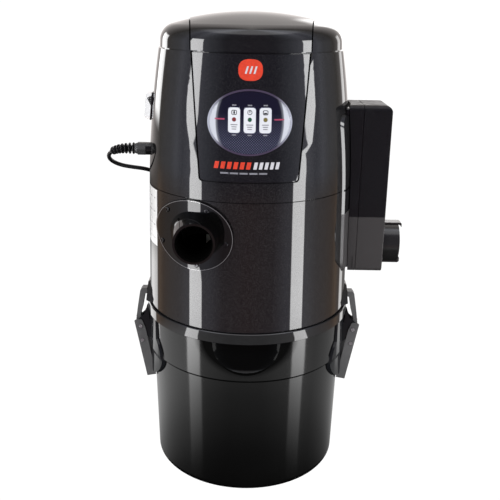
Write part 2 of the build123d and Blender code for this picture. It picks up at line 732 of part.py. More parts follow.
def cord_path():
    """Straight runs joined by tangent arcs, each as large as its two runs allow."""
    points = [Vector(*point) for point in CORD_ROUTE]
    radii = []
    for before, corner, after in zip(points, points[1:], points[2:]):
        turn = math.radians((corner - before).get_angle(after - corner))
        shorter = min((corner - before).length, (after - corner).length)
        radii.append(0.45 * shorter / math.tan(turn / 2))
    return FilletPolyline(*points, radius=radii), radii


def cord_tube():
    path, radii = cord_path()
    section = Plane(origin=path @ 0, z_dir=path % 0) * Circle(CORD_D / 2)
    tube = sweep(section, path=path)
    expected = math.pi * (CORD_D / 2) ** 2 * path.length
    print("cord arc radii", [round(radius, 1) for radius in radii])
    print("cord tube length", round(path.length, 1), "volume ratio", round(tube.volume / expected, 4))
    return tube


def strain_relief(tube):
    """Ribbed sleeve that tapers along the cord's first bend."""
    path, _ = cord_path()
    ribs = 7
    pitch = 6.4
    hub_big, hub_small = 5.6, 4.5
    rib_big, rib_small = 8.8, 5.4
    spots = [path.position_at((index * pitch + 0.001) / path.length) for index in range(ribs + 1)]
    whole = None
    for index in range(ribs):
        share = index / ribs
        next_share = (index + 1) / ribs
        chord = spots[index + 1] - spots[index]
        frame = Plane(origin=spots[index], z_dir=chord)
        low_r = hub_big + (hub_small - hub_big) * share
        high_r = hub_big + (hub_small - hub_big) * next_share
        hub = frame * Cone(low_r, high_r, chord.length, align=(Align.CENTER, Align.CENTER, Align.MIN))
        tangent = path.tangent_at(((index + 0.5) * pitch) / path.length)
        centre = path.position_at(((index + 0.5) * pitch) / path.length)
        rib = Plane(origin=centre, z_dir=tangent) * Cylinder(rib_big + (rib_small - rib_big) * share, 2.6)
        joint = Pos(*spots[index + 1]) * Sphere(high_r)
        piece = hub + rib + joint
        whole = piece if whole is None else whole + piece
    outside = block(-300, GLAND_FACE_X, -60, 60, 450, 600)
    return (whole & outside) - tube


def coil_ring(grow):
    """Outer shape of the coiled cord: two turns wide and two high."""
    inner = COIL_MEAN_R - CORD_D - grow
    outer = COIL_MEAN_R + CORD_D + grow
    low = 0.0
    high = 2 * CORD_D + 0.2 + grow
    corners = [(inner, low), (outer, low), (outer, high), (inner, high)]
    rounds = {index: 3.2 for index in range(4)}
    return Pos(COIL_X, COIL_Y, 0) * lathe(corners, rounds)


def cord_tie():
    """Strap round the coil at its far side."""
    strap_zone = block(COIL_X - 5, COIL_X + 5, COIL_Y, COIL_Y + 60, 0, 40)
    outer = coil_ring(1.2) & strap_zone
    core = (coil_ring(0.0) & strap_zone) & block(-200, 200, 0, 400, 0.9, 40)
    return outer - core


def cord_coil():
    return coil_ring(0.0) - cord_tie()




def plug_body():
    width, height = 23.0, 19.6
    back = Plane(origin=(PLUG_BACK_X, PLUG_Y, PLUG_Z), x_dir=(0, 1, 0), z_dir=(1, 0, 0))
    head = extrude(back * RectangleRounded(width, height, 6.0), PLUG_FRONT_X - PLUG_BACK_X)
    head = fillet(head.faces().sort_by(Axis.X)[0].edges(), 3.0)
    tail_plane = Plane(origin=(PLUG_BACK_X + 4, PLUG_Y, PLUG_Z), x_dir=(0, 1, 0), z_dir=(-1, 0, 0))
    tail = tail_plane * Cone(6.6, 4.3, 27.0, align=(Align.CENTER, Align.CENTER, Align.MIN))
    return head + tail - coil_ring(0.0)


def plug_pins():
    blades = [
        block(PLUG_FRONT_X, PLUG_FRONT_X + 16, y - 0.75, y + 0.75, PLUG_Z - 1.2, PLUG_Z + 5.2)
        for y in (PLUG_Y - 6.35, PLUG_Y + 6.35)
    ]
    earth = pin_x(PLUG_Y, PLUG_Z - 5.0, 2.4, PLUG_FRONT_X, PLUG_FRONT_X + 18)
    return Compound([blades[0].solid(), blades[1].solid(), earth.solid()])


# ------------------------------------------------------------------ motor and fan
def fan_shroud():
    can = disc(72, DECK_Z + 6, DECK_Z + 48) - disc(70, DECK_Z + 5, DECK_Z + 46)
    outlet = block(40, 90, -17.5, 17.5, 504.5, 519.5)
    return can - disc(12, DECK_Z + 40, DECK_Z + 50) - outlet


def fan_impeller():
    low = DECK_Z + 12
    blade_low, blade_high = low + 1.5, low + 22
    back_plate = disc(66, blade_high, blade_high + 2)
    front_plate = disc(66, low, blade_low) - disc(31, low - 1, blade_low + 1)
    hub = disc(9, blade_low, blade_high + 8)
    blades = None
    for index in range(7):
        angle = index * 360 / 7
        arc = RadiusArc((30, 0), (64, 14), 60)
        blade = Rot(0, 0, angle) * (Pos(0, 0, blade_low) * extrude(trace(arc, 1.6), blade_high - blade_low))
        blades = blade if blades is None else blades + blade
    within = disc(65.9, low, blade_high + 1)
    return back_plate + front_plate + hub + (blades & within) - disc(SHAFT_R, low - 5, blade_high + 20)


def armature():
    shaft = disc(SHAFT_R, DECK_Z + 14, 648)
    core = ring(SHAFT_R, 27, 562, 606)
    slots = None
    for index in range(12):
        slot = Rot(0, 0, index * 30) * block(20.5, 28, -1.4, 1.4, 560, 608)
        slots = slot if slots is None else slots + slot
    commutator = ring(SHAFT_R, 13, 614, 630)
    windings = ring(SHAFT_R, 22, 552, 562) + ring(SHAFT_R, 22, 606, 613)
    return shaft + (core - slots) + commutator + windings


def motor_stator():
    stack = disc(47, 560, 608) - disc(28, 559, 609)
    coils = (ring(30, 42, 548, 560) + ring(30, 42, 608, 616)) - block(-60, 60, -9, 9, 540, 620)
    return stack + coils


def motor_frame():
    """Cup that holds the stator, with a bearing seat at each end and vents round its side."""
    low, high = DECK_Z + 48, 646.0
    cup = disc(51, low, high) - disc(47, low + 4, high - 4)
    bores = disc(11, low - 1, high + 1)
    vents = None
    for index in range(8):
        vent = Rot(0, 0, 22.5 + index * 45) * block(40, 60, -9, 9, 624, 636)
        low_vent = Rot(0, 0, 22.5 + index * 45) * block(40, 60, -9, 9, 530, 544)
        vents = vent + low_vent if vents is None else vents + vent + low_vent
    return cup - bores - vents


def motor_bearings():
    low = DECK_Z + 48
    lower = ring(SHAFT_R + 0.04, 11, low, low + 7)
    upper = ring(SHAFT_R + 0.04, 11, 639, 646)
    return Compound([lower.solid(), upper.solid()])


def brush_holders():
    right = block(-4.5, 4.5, 13.5, 46.5, 618, 626)
    left = block(-4.5, 4.5, -46.5, -13.5, 618, 626)
    return Compound([right.solid(), left.solid()])


# ------------------------------------------------------------------ filter and float
def filter_cage():
    low, high = 350.0, DECK_Z
    wall = ring(40, 43, low, high)
    slots = None
    for index in range(8):
        slot = Rot(0, 0, index * 45) * block(35, 50, -10, 10, low + 12, high - 16)
        slots = slot if slots is None else slots + slot
    seat = disc(50, high - 3, high) - disc(18, high - 4, high + 1)
    floor_plate = disc(43, low, low + 3)
    return (wall - slots) + seat + floor_plate


def filter_cartridge():
    """Pleated filter ring that slides over the cage."""
    pleats = 36
    points = []
    for index in range(2 * pleats):
        angle = math.pi * index / pleats
        radius = 71.0 if index % 2 == 0 else 55.0
        points.append((radius * math.cos(angle), radius * math.sin(angle)))
    media = Pos(0, 0, 356) * extrude(make_face(Polyline(*points, close=True)), 106)
    collar = disc(73, 350, 357) + disc(73, 461, 468)
    return media + collar - disc(43.5, 340, 480)


def filter_retainer():
    plate = disc(70, 345, 350)
    knob = disc(11, 327, 346)
    wings = block(-24, 24, -4, 4, 327, 345)
    return plate + knob + wings


def float_ball():
    return Pos(0, 0, 353.0 + BALL_R + 0.3) * Sphere(BALL_R)


# ------------------------------------------------------------------ latches
def latch_base_right():
    """Pad that hugs the tank's band, with two ears for the lever's pivot."""
    pad_sketch = Pos(0, 237.25) * Rectangle(148, 64.5) + Pos(0, 205) * Ellipse(90, 52)
    zone = extrude(Plane.YZ.offset(100) * pad_sketch, 80) & block(100, 180, -100, 100, 150, 269.5)
    shell = lathe([(140, 150), (165.2, 150), (165.2, 201), (167.2, 209), (167.2, 269.5), (140, 269.5)])
    tank = lathe(tank_outline())
    pad = (shell & zone) - tank
    outline = [
        (158, 240.0),
        (168.2, 241.0),
        (169.9, 260.0),
        (172.2, 264.5),
        (174.8, 261.0),
        (177.4, 251.5),
        (184.4, 245.5),
        (190.2, 238.5),
        (190.6, 229.0),
        (184.0, 221.5),
        (173.0, 210.5),
        (158, 203.0),
    ]
    ears = None
    for side in (-1, 1):
        low, high = sorted((side * EAR_INNER_Y, side * EAR_OUTER_Y))
        ear = slab_xz(outline, low, high) - pin_y(PIVOT_X, PIVOT_Z, PIN_R, -20, 20)
        ears = ear if ears is None else ears + ear
    return pad + (ears - tank)


def latch_pivot_pins():
    """Stub rivets that carry the levers, two on each side."""
    pins = []
    for side in (-1, 1):
        low, high = sorted((side * EAR_INNER_Y, side * (LEVER_HALF_W + 0.3)))
        head_low, head_high = sorted((side * (LEVER_HALF_W + 0.3), side * (LEVER_HALF_W + 1.8)))
        stub = pin_y(PIVOT_X, PIVOT_Z, PIN_R, low, high) + pin_y(PIVOT_X, PIVOT_Z, 3.1, head_low, head_high)
        pins.append(stub.solid())
        pins.append(mirrored(stub).solid())
    return Compound(pins)


def latch_lever_right():
    """Lever pressed from sheet: an open channel with a fork at its top end."""
    outline = [(194.6, 239.6), (190.9, 242.2), (181.5, 242.4), (175.8, 227.5), (159.3, 138.2), (174.6, 135.4)]
    face = make_face(Polyline(*outline, close=True))
    face = fillet(face.vertices().sort_by_distance((181.5, 242.4, 0))[0], 4.5)
    face = fillet(face.vertices().sort_by_distance((190.9, 242.2, 0))[0], 1.5)
    profile = extrude(Plane.XZ.offset(-LEVER_HALF_W) * face, 2 * LEVER_HALF_W)
    inner_width = block(100, 250, SHEET - LEVER_HALF_W, LEVER_HALF_W - SHEET, 100, 250)
    shift = Vector(-SHEET - 0.02, 0, 0.35)
    hollow = (Pos(*shift) * profile) & inner_width
    fork = block(100, 250, SHEET - LEVER_HALF_W, LEVER_HALF_W - SHEET, LINK_Z - 19, 250)
    holes = pin_y(PIVOT_X, PIVOT_Z, PIN_R + RUNNING, -20, 20) + pin_y(LINK_X, LINK_Z, PIN_R, -20, 20)
    pad_room = lathe([(140, 151), (165.7, 151), (165.7, 201), (167.7, 209), (167.7, 269), (140, 269)])
    return profile - hollow - (fork & inner_width) - holes - pad_room


def latch_link_pin_right():
    half = LEVER_HALF_W
    shaft = pin_y(LINK_X, LINK_Z, PIN_R, -half, half)
    heads = pin_y(LINK_X, LINK_Z, 3.0, half, half + 1.4) + pin_y(LINK_X, LINK_Z, 3.0, -half - 1.4, -half)
    return shaft + heads


def latch_hook_right():
    """Draw hook of channel section: a bent web at the outside, two side flanges and a claw at the top."""
    web = [
        (171.8, 298.6),
        (180.2, 298.6),
        (183.6, 293.8),
        (188.4, 265.5),
        (191.8, 242.0),
        (191.4, 236.0),
        (189.4, 236.2),
        (189.7, 242.0),
        (186.4, 265.2),
        (181.7, 293.1),
        (179.1, 296.2),
        (171.8, 296.2),
    ]
    flange = web[:5] + [
        (190.4, 228.0),
        (187.1, LINK_Z),
        (176.1, LINK_Z),
        (180.4, 232.0),
        (184.2, 249.0),
        (180.6, 261.8),
        (178.1, 275.2),
        (175.4, 289.0),
        (171.8, 289.0),
    ]
    solid = slab_xz(web, -LINK_HALF_W, LINK_HALF_W)
    for side in (-1, 1):
        low, high = sorted((side * (LINK_HALF_W - FLANGE_SHEET), side * LINK_HALF_W))
        solid = solid + slab_xz(flange, low, high) + pin_y(LINK_X, LINK_Z, 5.5, low, high)
    return solid - pin_y(LINK_X, LINK_Z, PIN_R + RUNNING, -20, 20)


def latch_keepers():
    """Catches on the lower housing: a bevelled boss each, with a nose under the hook's claw."""
    low = KEEPER_LOW_Z
    outer = [(-42, low), (42, low), (12, 312), (-12, 312)]
    foot = [(-60, low), (60, low), (22, 330), (-22, 330)]
    faces = []
    for x, corners in ((KEEPER_X - 18, foot), (KEEPER_X, outer)):
        points = [(x, y, z) for y, z in corners]
        faces.append(make_face(Polyline(*points, close=True)))
    nose = block(160, 175.2, -5.2, 5.2, low + 1, 295.85)
    right = loft(faces, ruled=True) + nose - body_core(0.0)
    right = right & block(100, 200, -80, 80, low, 330)
    right = right.solids().sort_by(Axis.X)[-1]
    return Compound([right, mirrored(right).solid()])


# ------------------------------------------------------------------ wall hanger at the back
def wall_bracket():
    middle_z = (BRACKET_LOW_Z + BRACKET_TOP_Z) / 2
    sketch = Pos(0, middle_z) * RectangleRounded(2 * BRACKET_HALF_W, BRACKET_TOP_Z - BRACKET_LOW_Z, 10)
    plate = extrude(Plane.XZ.offset(-BRACKET_Y - BRACKET_THICK) * sketch, BRACKET_THICK)
    shelf = block(-40, 40, 160, BRACKET_Y, SHELF_Z - 3, SHELF_Z)
    lip = block(-40, 40, 160, 162.5, SHELF_Z - 3, SHELF_Z + 12)
    solid = plate + shelf + lip
    for x in (-BOLT_X, BOLT_X):
        for z in BOLT_Z:
            solid = solid - pin_y(x, z, BOLT_R, BRACKET_Y - 5, BRACKET_Y + 10)
    return solid


def hanger_cleat():
    saddle = block(-36, 36, 140, 157, 625, 672) - body_core(0.0)
    arm = block(-36, 36, 152, 171, 662, 668)
    hook = block(-36, 36, 165, 171, SHELF_Z, 668)
    return saddle + arm + hook


def rear_bumpers():
    pads = []
    for x in (-60, 60):
        pad = pin_y(x, 325, 9, 130, BRACKET_Y + BRACKET_THICK) - body_core(0.0)
        pads.append(pad.solids().sort_by(Axis.Y)[-1])
    return Compound(pads)


# ------------------------------------------------------------------ output
def sub_parts():
    """Every node's name and its solid."""
    tube = cord_tube()
    parts = {
        "power_cord": tube - coil_ring(0.0),
        "strain_relief": strain_relief(tube),
    }
    plain = [
        dirt_tank, tank_rim_ring, tank_seal, lower_housing, upper_housing, motor_deck,
        hood_crown, hood_shoulder_right, hood_shoulder_left, front_panel, badge_bezel, badge_face,
        indicator_windows, indicator_leds, indicator_board, hose_inlet, inlet_gasket, inlet_screws, inlet_elbow,
        side_box_saddle, side_box_base, side_box_cover, blower_port, muffler_foam, exhaust_duct,
        switch_bezel, switch_rocker, switch_boot,
        gland_body, gland_nut, cord_tie, cord_coil, plug_body, plug_pins,
        fan_shroud, fan_impeller, armature, motor_stator, motor_frame, motor_bearings, brush_holders,
        filter_cage, filter_cartridge, filter_retainer, float_ball,
        latch_pivot_pins, latch_keepers, wall_bracket, hanger_cleat, rear_bumpers,
    ]
    for make in plain:
        parts[make.__name__] = make()
    for make in (latch_base_right, latch_lever_right, latch_hook_right, latch_link_pin_right):
        right = make()
        name = make.__name__.removesuffix("_right")
        parts[name + "_right"] = right
        parts[name + "_left"] = mirrored(right)
    return parts


def main():
    os.makedirs("parts", exist_ok=True)
    for name, shape in sub_parts().items():
        export_step(shape, f"parts/{name}.step")


main()
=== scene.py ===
import math

import bmesh
import bpy
from mathutils import Matrix, Vector
from mathutils.bvhtree import BVHTree


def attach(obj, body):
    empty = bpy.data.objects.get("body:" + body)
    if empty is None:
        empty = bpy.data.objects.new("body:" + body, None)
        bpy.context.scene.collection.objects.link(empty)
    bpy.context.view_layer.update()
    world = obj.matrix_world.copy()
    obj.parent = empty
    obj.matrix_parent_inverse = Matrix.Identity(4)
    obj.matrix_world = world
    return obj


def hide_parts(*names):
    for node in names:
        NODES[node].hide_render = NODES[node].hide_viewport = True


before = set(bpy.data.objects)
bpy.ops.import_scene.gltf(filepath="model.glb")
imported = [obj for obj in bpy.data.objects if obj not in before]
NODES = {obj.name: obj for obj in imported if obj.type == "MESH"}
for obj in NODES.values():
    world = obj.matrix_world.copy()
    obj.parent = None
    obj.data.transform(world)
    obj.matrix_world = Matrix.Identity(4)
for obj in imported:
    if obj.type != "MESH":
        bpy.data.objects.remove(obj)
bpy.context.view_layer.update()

# ------------------------------------------------------------------ camera
CAMERA_PLACE = (0.0034, -1.2, 0.7575)
CAMERA_PITCH = 18.0
CAMERA_ROLL = 0.98
CAMERA_LENS = 53.64


def make_camera():
    data = bpy.data.cameras.new("camera")
    data.lens = CAMERA_LENS
    data.sensor_width = 36.0
    camera = bpy.data.objects.new("camera", data)
    bpy.context.scene.collection.objects.link(camera)
    tilt = Matrix.Rotation(math.radians(90.0 - CAMERA_PITCH), 4, "X")
    roll = Matrix.Rotation(math.radians(CAMERA_ROLL), 4, "Z")
    camera.matrix_world = Matrix.Translation(CAMERA_PLACE) @ tilt @ roll
    bpy.context.scene.camera = camera


# ------------------------------------------------------------------ places on the part, in metres
INLET_X, INLET_Z = -0.077, 0.436
INLET_BORE_SHADE_R = 0.0272
BOX_REFLECTION_Z = 0.4395
SADDLE_REFLECTION_Z = 0.4515
BADGE_Z = 0.6047
BADGE_HALF_X, BADGE_HALF_Z = 0.0575, 0.078
BADGE_DOT_PITCH = 0.0036
BEZEL_HALF_X = 0.06
RIM_LOW_Z = 0.271
# size of the half-moon of painted shade on the tank
RECESS_SHADE_HALF_X, RECESS_SHADE_DEPTH = 0.082, 0.06
LAMP_X = 0.022
LAMP_REACH = 0.033


# ------------------------------------------------------------------ node helpers
class Graph:
    """Short calls that add nodes to a node tree."""

    def __init__(self, tree):
        self.nodes = tree.nodes
        self.links = tree.links

    def put(self, socket, value):
        """Links an output to a socket, or sets the socket's own value."""
        if hasattr(value, "is_output"):
            self.links.new(value, socket)
        else:
            socket.default_value = value

    def node(self, kind, inputs=None, **settings):
        made = self.nodes.new(kind)
        for key, value in settings.items():
            setattr(made, key, value)
        for key, value in (inputs or {}).items():
            self.put(made.inputs[key], value)
        return made

    def math(self, operation, *values):
        made = self.node("ShaderNodeMath", operation=operation)
        for socket, value in zip(made.inputs, values):
            self.put(socket, value)
        return made.outputs[0]

    def ramp(self, value, *stops, hard=False):
        """Colour ramp; each stop is (position, grey) or (position, (r, g, b))."""
        made = self.node("ShaderNodeValToRGB", {"Fac": value})
        made.color_ramp.interpolation = "CONSTANT" if hard else "LINEAR"
        elements = made.color_ramp.elements
        while len(elements) < len(stops):
            elements.new(0.5)
        for element, (position, shade) in zip(elements, stops):
            color = (shade,) * 3 if isinstance(shade, (int, float)) else shade
            element.position = position
            element.color = (*color, 1.0)
        return made.outputs["Color"]

    def blend(self, factor, first, second, kind="MIX"):
        """Mix of two colours, each an output or an (r, g, b) tuple."""
        first, second = ((*value, 1.0) if isinstance(value, tuple) else value for value in (first, second))
        inputs = {0: factor, 6: first, 7: second}
        return self.node("ShaderNodeMix", inputs, data_type="RGBA", blend_type=kind).outputs[2]


class Shader(Graph):
    """One material: a Principled shader and calls for its textures."""

    def __init__(self, name, color, roughness, **sockets):
        self.material = bpy.data.materials.new(name)
        self.material.use_nodes = True
        super().__init__(self.material.node_tree)
        self.main = self.nodes["Principled BSDF"]
        self.main.inputs["Base Color"].default_value = (*color, 1.0)
        self.main.inputs["Roughness"].default_value = roughness
        for socket, value in sockets.items():
            self.main.inputs[socket.replace("_", " ")].default_value = value
        self.place = self.nodes.new("ShaderNodeTexCoord").outputs["Object"]

    def stretched(self, x, y, z):
        """Object coordinates scaled along each axis."""
        return self.node("ShaderNodeMapping", {"Vector": self.place, "Scale": (x, y, z)}).outputs["Vector"]

    def noise(self, scale, detail=3.0, rough=0.5, vector=None):
        inputs = {"Vector": vector or self.place, "Scale": scale, "Detail": detail, "Roughness": rough}
        return self.node("ShaderNodeTexNoise", inputs).outputs["Fac"]

    def cells(self, scale, output="Color"):
        return self.node("ShaderNodeTexVoronoi", {"Vector": self.place, "Scale": scale}).outputs[output]

    def axis(self, letter):
        """One object coordinate, in metres."""
        return self.node("ShaderNodeSeparateXYZ", {"Vector": self.place}).outputs[letter]

    def square(self, letter, centre, half):
        """Squared distance from a centre along one axis, in units of half."""
        offset = self.math("SUBTRACT", self.axis(letter), centre)
        return self.math("POWER", self.math("MULTIPLY", offset, 1 / half), 2.0)

    def below(self, height):
        """One below a height and nothing above it, changing over a millimetre."""
        above = self.math("MULTIPLY", self.math("SUBTRACT", self.axis("Z"), height), 1000.0)
        return self.ramp(above, (0.0, 1.0), (1.0, 0.0))

    def drive(self, socket, value):
        self.links.new(value, self.main.inputs[socket])

    def bump(self, height, strength, distance, socket="Normal"):
        """Bump of a given depth in metres."""
        made = self.node("ShaderNodeBump", {"Height": height, "Strength": strength, "Distance": distance})
        self.drive(socket, made.outputs["Normal"])


def paint(material, *names):
    """Gives CAD nodes a material."""
    for name in names:
        slots = NODES[name].material_slots
        for slot in slots:
            slot.link = "OBJECT"
            slot.material = material
        if not slots:
            NODES[name].data.materials.append(material)


# ------------------------------------------------------------------ materials
def flake_shader(name, base, sparkle, coat):
    """Near-black moulding with a sparse metallic flake under a clear gloss surface."""
    s = Shader(name, base, 0.6, Specular_IOR_Level=0.0, Coat_Weight=coat, Coat_Roughness=0.02, Coat_IOR=1.5)
    grain = s.node("ShaderNodeSeparateColor", {"Color": s.cells(1700.0)}).outputs[0]
    light = tuple(value + sparkle for value in base)
    s.drive("Base Color", s.ramp(grain, (0.0, base), (0.6, base), (1.0, light)))
    s.drive("Roughness", s.ramp(s.noise(9.0, 4.0), (0.3, 0.5), (0.7, 0.7)))
    s.bump(s.noise(38.0, 1.0), 0.6, 0.00002, socket="Coat Normal")
    return s


def flake_gloss(name, base, sparkle=0.019, coat=1.0):
    return flake_shader(name, base, sparkle, coat).material


def inlet_gloss():
    """Gloss black, with no coat inside the bore so that it shows dark, a painted shade."""
    s = flake_shader("inlet_gloss", (0.001, 0.001, 0.001), 0.004, 0.8)
    # painted shade: the coat is switched off within a radius of the bore's axis
    around = s.math("ADD", s.square("X", INLET_X, 1.0), s.square("Z", INLET_Z, 1.0))
    outside = s.math("GREATER_THAN", s.math("SQRT", around), INLET_BORE_SHADE_R)
    s.drive("Coat Weight", s.math("MULTIPLY", outside, 0.8))
    return s.material


def satin_plastic(name, base, roughness, grain=0.00006, scale=900.0):
    """Moulded plastic with a fine spark-eroded grain."""
    s = Shader(name, base, roughness, Specular_IOR_Level=0.5)
    shade = tuple(1.6 * value for value in base)
    s.drive("Base Color", s.blend(s.ramp(s.noise(14.0, 5.0), (0.35, 0.0), (0.75, 1.0)), base, shade))
    s.drive("Roughness", s.ramp(s.noise(30.0, 5.0), (0.3, roughness * 0.85), (0.75, roughness * 1.15)))
    s.bump(s.noise(scale, 3.0, 0.6), 0.5, grain)
    return s.material


def tank_plastic():
    """Smooth black polypropylene with faint flow marks, its gloss turned down round the finger recess as
    painted shade.
    """
    s = Shader("tank_plastic", (0.002, 0.002, 0.002), 0.5, Specular_IOR_Level=0.0,
               Coat_Roughness=0.09, Coat_IOR=1.5)
    # painted shade: the coat is turned off over a half-moon at the front under the rim, so the recess reads
    # dark
    around = s.math("ADD", s.square("X", 0.0, RECESS_SHADE_HALF_X), s.square("Z", RIM_LOW_Z, RECESS_SHADE_DEPTH))
    half_moon = s.ramp(s.math("SQRT", around), (0.82, 1.0), (1.0, 0.0))
    recess_shade = s.math("MULTIPLY", half_moon, s.math("LESS_THAN", s.axis("Y"), 0.0))
    s.drive("Coat Weight", s.math("SUBTRACT", 1.0, s.math("MULTIPLY", recess_shade, 0.94)))
    s.drive("Base Color", s.ramp(s.noise(6.0, 4.0), (0.3, 0.0015), (0.8, 0.003)))
    s.drive("Roughness", s.ramp(s.noise(11.0, 4.0, vector=s.stretched(1, 1, 0.2)), (0.3, 0.4), (0.8, 0.6)))
    s.bump(s.noise(16.0, 2.0, vector=s.stretched(1, 1, 0.25)), 0.5, 0.00005)
    return s.material


def rubber(name, base=(0.012, 0.012, 0.013), roughness=0.55):
    s = Shader(name, base, roughness)
    pale = tuple(2.2 * value for value in base)
    s.drive("Base Color", s.blend(s.ramp(s.noise(60.0, 6.0, 0.7), (0.4, 0.0), (0.8, 1.0)), base, pale))
    s.drive("Roughness", s.ramp(s.noise(25.0), (0.3, roughness - 0.1), (0.7, roughness + 0.12)))
    s.bump(s.noise(500.0, 4.0), 0.4, 0.00005)
    return s.material


def metal(name, base, roughness):
    """Bare metal with a fine satin finish."""
    s = Shader(name, base, roughness, Metallic=1.0)
    streaks = s.noise(220.0, 4.0, 0.6)
    s.drive("Roughness", s.ramp(streaks, (0.25, roughness * 0.7), (0.75, roughness * 1.4)))
    s.bump(streaks, 0.3, 0.00002)
    return s.material


def chrome():
    """Plated bezel, bright at both ends; above and below, its purple-grey base colour is a painted
    reflection.
    """
    s = Shader("bezel_chrome", (0.8, 0.8, 0.82), 0.05, Metallic=1.0)
    outwards = s.math("MULTIPLY", s.math("ABSOLUTE", s.axis("X")), 1 / BEZEL_HALF_X)
    ends = s.ramp(outwards, (0.55, 0.0), (0.85, 1.0))
    # painted reflection: purple-grey base colour between the bright ends
    s.drive("Base Color", s.blend(ends, (0.42, 0.36, 0.47), (1.0, 1.0, 1.0)))
    s.drive("Roughness", s.ramp(s.noise(40.0, 3.0), (0.3, 0.05), (0.8, 0.14)))
    s.bump(s.noise(55.0, 2.0), 0.4, 0.00002)
    return s.material


def badge_overlay():
    """Navy overlay with pale ends that are a painted reflection, darker at the top, with a fine grid of dots
    in its lower half.
    """
    s = Shader("badge_overlay", (0.01, 0.012, 0.035), 0.4, Specular_IOR_Level=0.0,
               Coat_Weight=1.0, Coat_Roughness=0.03)
    turns = 2 * math.pi / BADGE_DOT_PITCH
    across, upward = (s.math("SINE", s.math("MULTIPLY", s.axis(letter), turns)) for letter in "XZ")
    dots = s.ramp(s.math("MULTIPLY", across, upward), (0.05, 0.0), (0.5, 1.0))
    share = s.node("ShaderNodeMapRange", {0: s.axis("Z"), 1: 0.618, 2: 0.575}).outputs[0]
    ground = s.ramp(share, (0.0, (0.004, 0.0035, 0.013)), (1.0, (0.009, 0.0095, 0.024)))
    printed = s.blend(s.math("MULTIPLY", dots, share), ground, (0.085, 0.09, 0.14))
    # painted reflection: a pale ring near the overlay's edge
    around = s.math("ADD", s.square("X", 0.0, BADGE_HALF_X), s.square("Z", BADGE_Z, BADGE_HALF_Z))
    pale_reflection = s.ramp(around, (0.6, 0.0), (0.69, 0.3), (0.72, 1.0))
    s.drive("Base Color", s.blend(pale_reflection, printed, (0.5, 0.52, 0.58)))
    return s.material


def window_print():
    s = Shader("window_print", (0.8, 0.82, 0.86), 0.18, Coat_Weight=0.8, Coat_Roughness=0.04)
    s.drive("Base Color", s.ramp(s.noise(30.0), (0.3, (0.6, 0.61, 0.66)), (0.8, (0.7, 0.71, 0.75))))
    s.bump(s.noise(300.0), 0.2, 0.00002)
    return s.material


def lamp_lenses():
    """One moulding material for the three lamps: red, green and amber from left to right."""
    s = Shader("lamp_lenses", (0.4, 0.05, 0.05), 0.12, Coat_Weight=1.0, Coat_Roughness=0.03)
    share = s.node("ShaderNodeMapRange", {0: s.axis("X"), 1: -LAMP_REACH, 2: LAMP_REACH}).outputs[0]
    red, green, amber = (0.26, 0.025, 0.03), (0.01, 0.11, 0.05), (0.22, 0.18, 0.04)
    tint = s.ramp(share, (0.0, red), (0.333, green), (0.667, amber), hard=True)
    facets = s.cells(900.0, "Distance")
    s.drive("Base Color", s.blend(s.ramp(facets, (0.1, 0.0), (0.6, 0.5)), tint, (0.02, 0.02, 0.02)))
    s.bump(facets, 0.4, 0.0002)
    return s.material


def box_plastic():
    """Textured black; below a set height its base colour is a paler grey, a painted reflection."""
    s = Shader("box_plastic", (0.01, 0.0095, 0.011), 0.42, Specular_IOR_Level=0.25)
    dark, light = (0.002, 0.0018, 0.0026), (0.008, 0.007, 0.0095)
    speckle = s.ramp(s.noise(700.0, 3.0, 0.7), (0.35, dark), (0.75, light))
    # painted reflection: a plain paler grey in place of the speckle below the height
    s.drive("Base Color", s.blend(s.below(BOX_REFLECTION_Z), speckle, (0.04, 0.037, 0.038)))
    s.drive("Roughness", s.ramp(s.noise(60.0, 4.0), (0.3, 0.36), (0.7, 0.5)))
    s.bump(s.noise(650.0, 3.0, 0.6), 0.5, 0.00008)
    return s.material


def saddle_plastic():
    """Gloss black beside the housing, satin in the lower zone, where its grey base colour is a painted
    reflection.
    """
    s = Shader("saddle_plastic", (0.004, 0.004, 0.004), 0.12, Specular_IOR_Level=0.5)
    lower = s.below(SADDLE_REFLECTION_Z)
    # painted reflection: grey base colour in the lower zone
    s.drive("Base Color", s.blend(lower, (0.004, 0.004, 0.0045), (0.045, 0.042, 0.043)))
    s.drive("Roughness", s.blend(lower, (0.1, 0.1, 0.1), (0.42, 0.42, 0.42)))
    s.bump(s.noise(500.0, 3.0, 0.6), 0.3, 0.00003)
    return s.material


def ink(name, base, roughness=0.25, varied=0.2):
    """Screen-printed ink with faint mottling under a gloss varnish."""
    s = Shader(name, base, roughness, Coat_Weight=0.8, Coat_Roughness=0.04)
    deep = tuple(value * (1.0 - varied) for value in base)
    s.drive("Base Color", s.blend(s.ramp(s.noise(260.0, 4.0), (0.35, 0.0), (0.7, 1.0)), base, deep))
    s.bump(s.noise(900.0, 2.0), 0.2, 0.00001)
    return s.material


def clear_cover():
    s = Shader("clear_cover", (0.95, 0.95, 0.96), 0.03, Transmission_Weight=0.97, IOR=1.12)
    s.drive("Roughness", s.ramp(s.noise(50.0), (0.3, 0.02), (0.8, 0.05)))
    s.bump(s.noise(40.0), 0.2, 0.00003)
    return s.material


def paper():
    s = Shader("filter_paper", (0.8, 0.79, 0.74), 0.85)
    s.drive("Base Color", s.ramp(s.noise(120.0, 6.0), (0.3, (0.7, 0.68, 0.62)), (0.8, (0.86, 0.85, 0.81))))
    s.bump(s.noise(400.0, 5.0), 0.6, 0.0002)
    return s.material


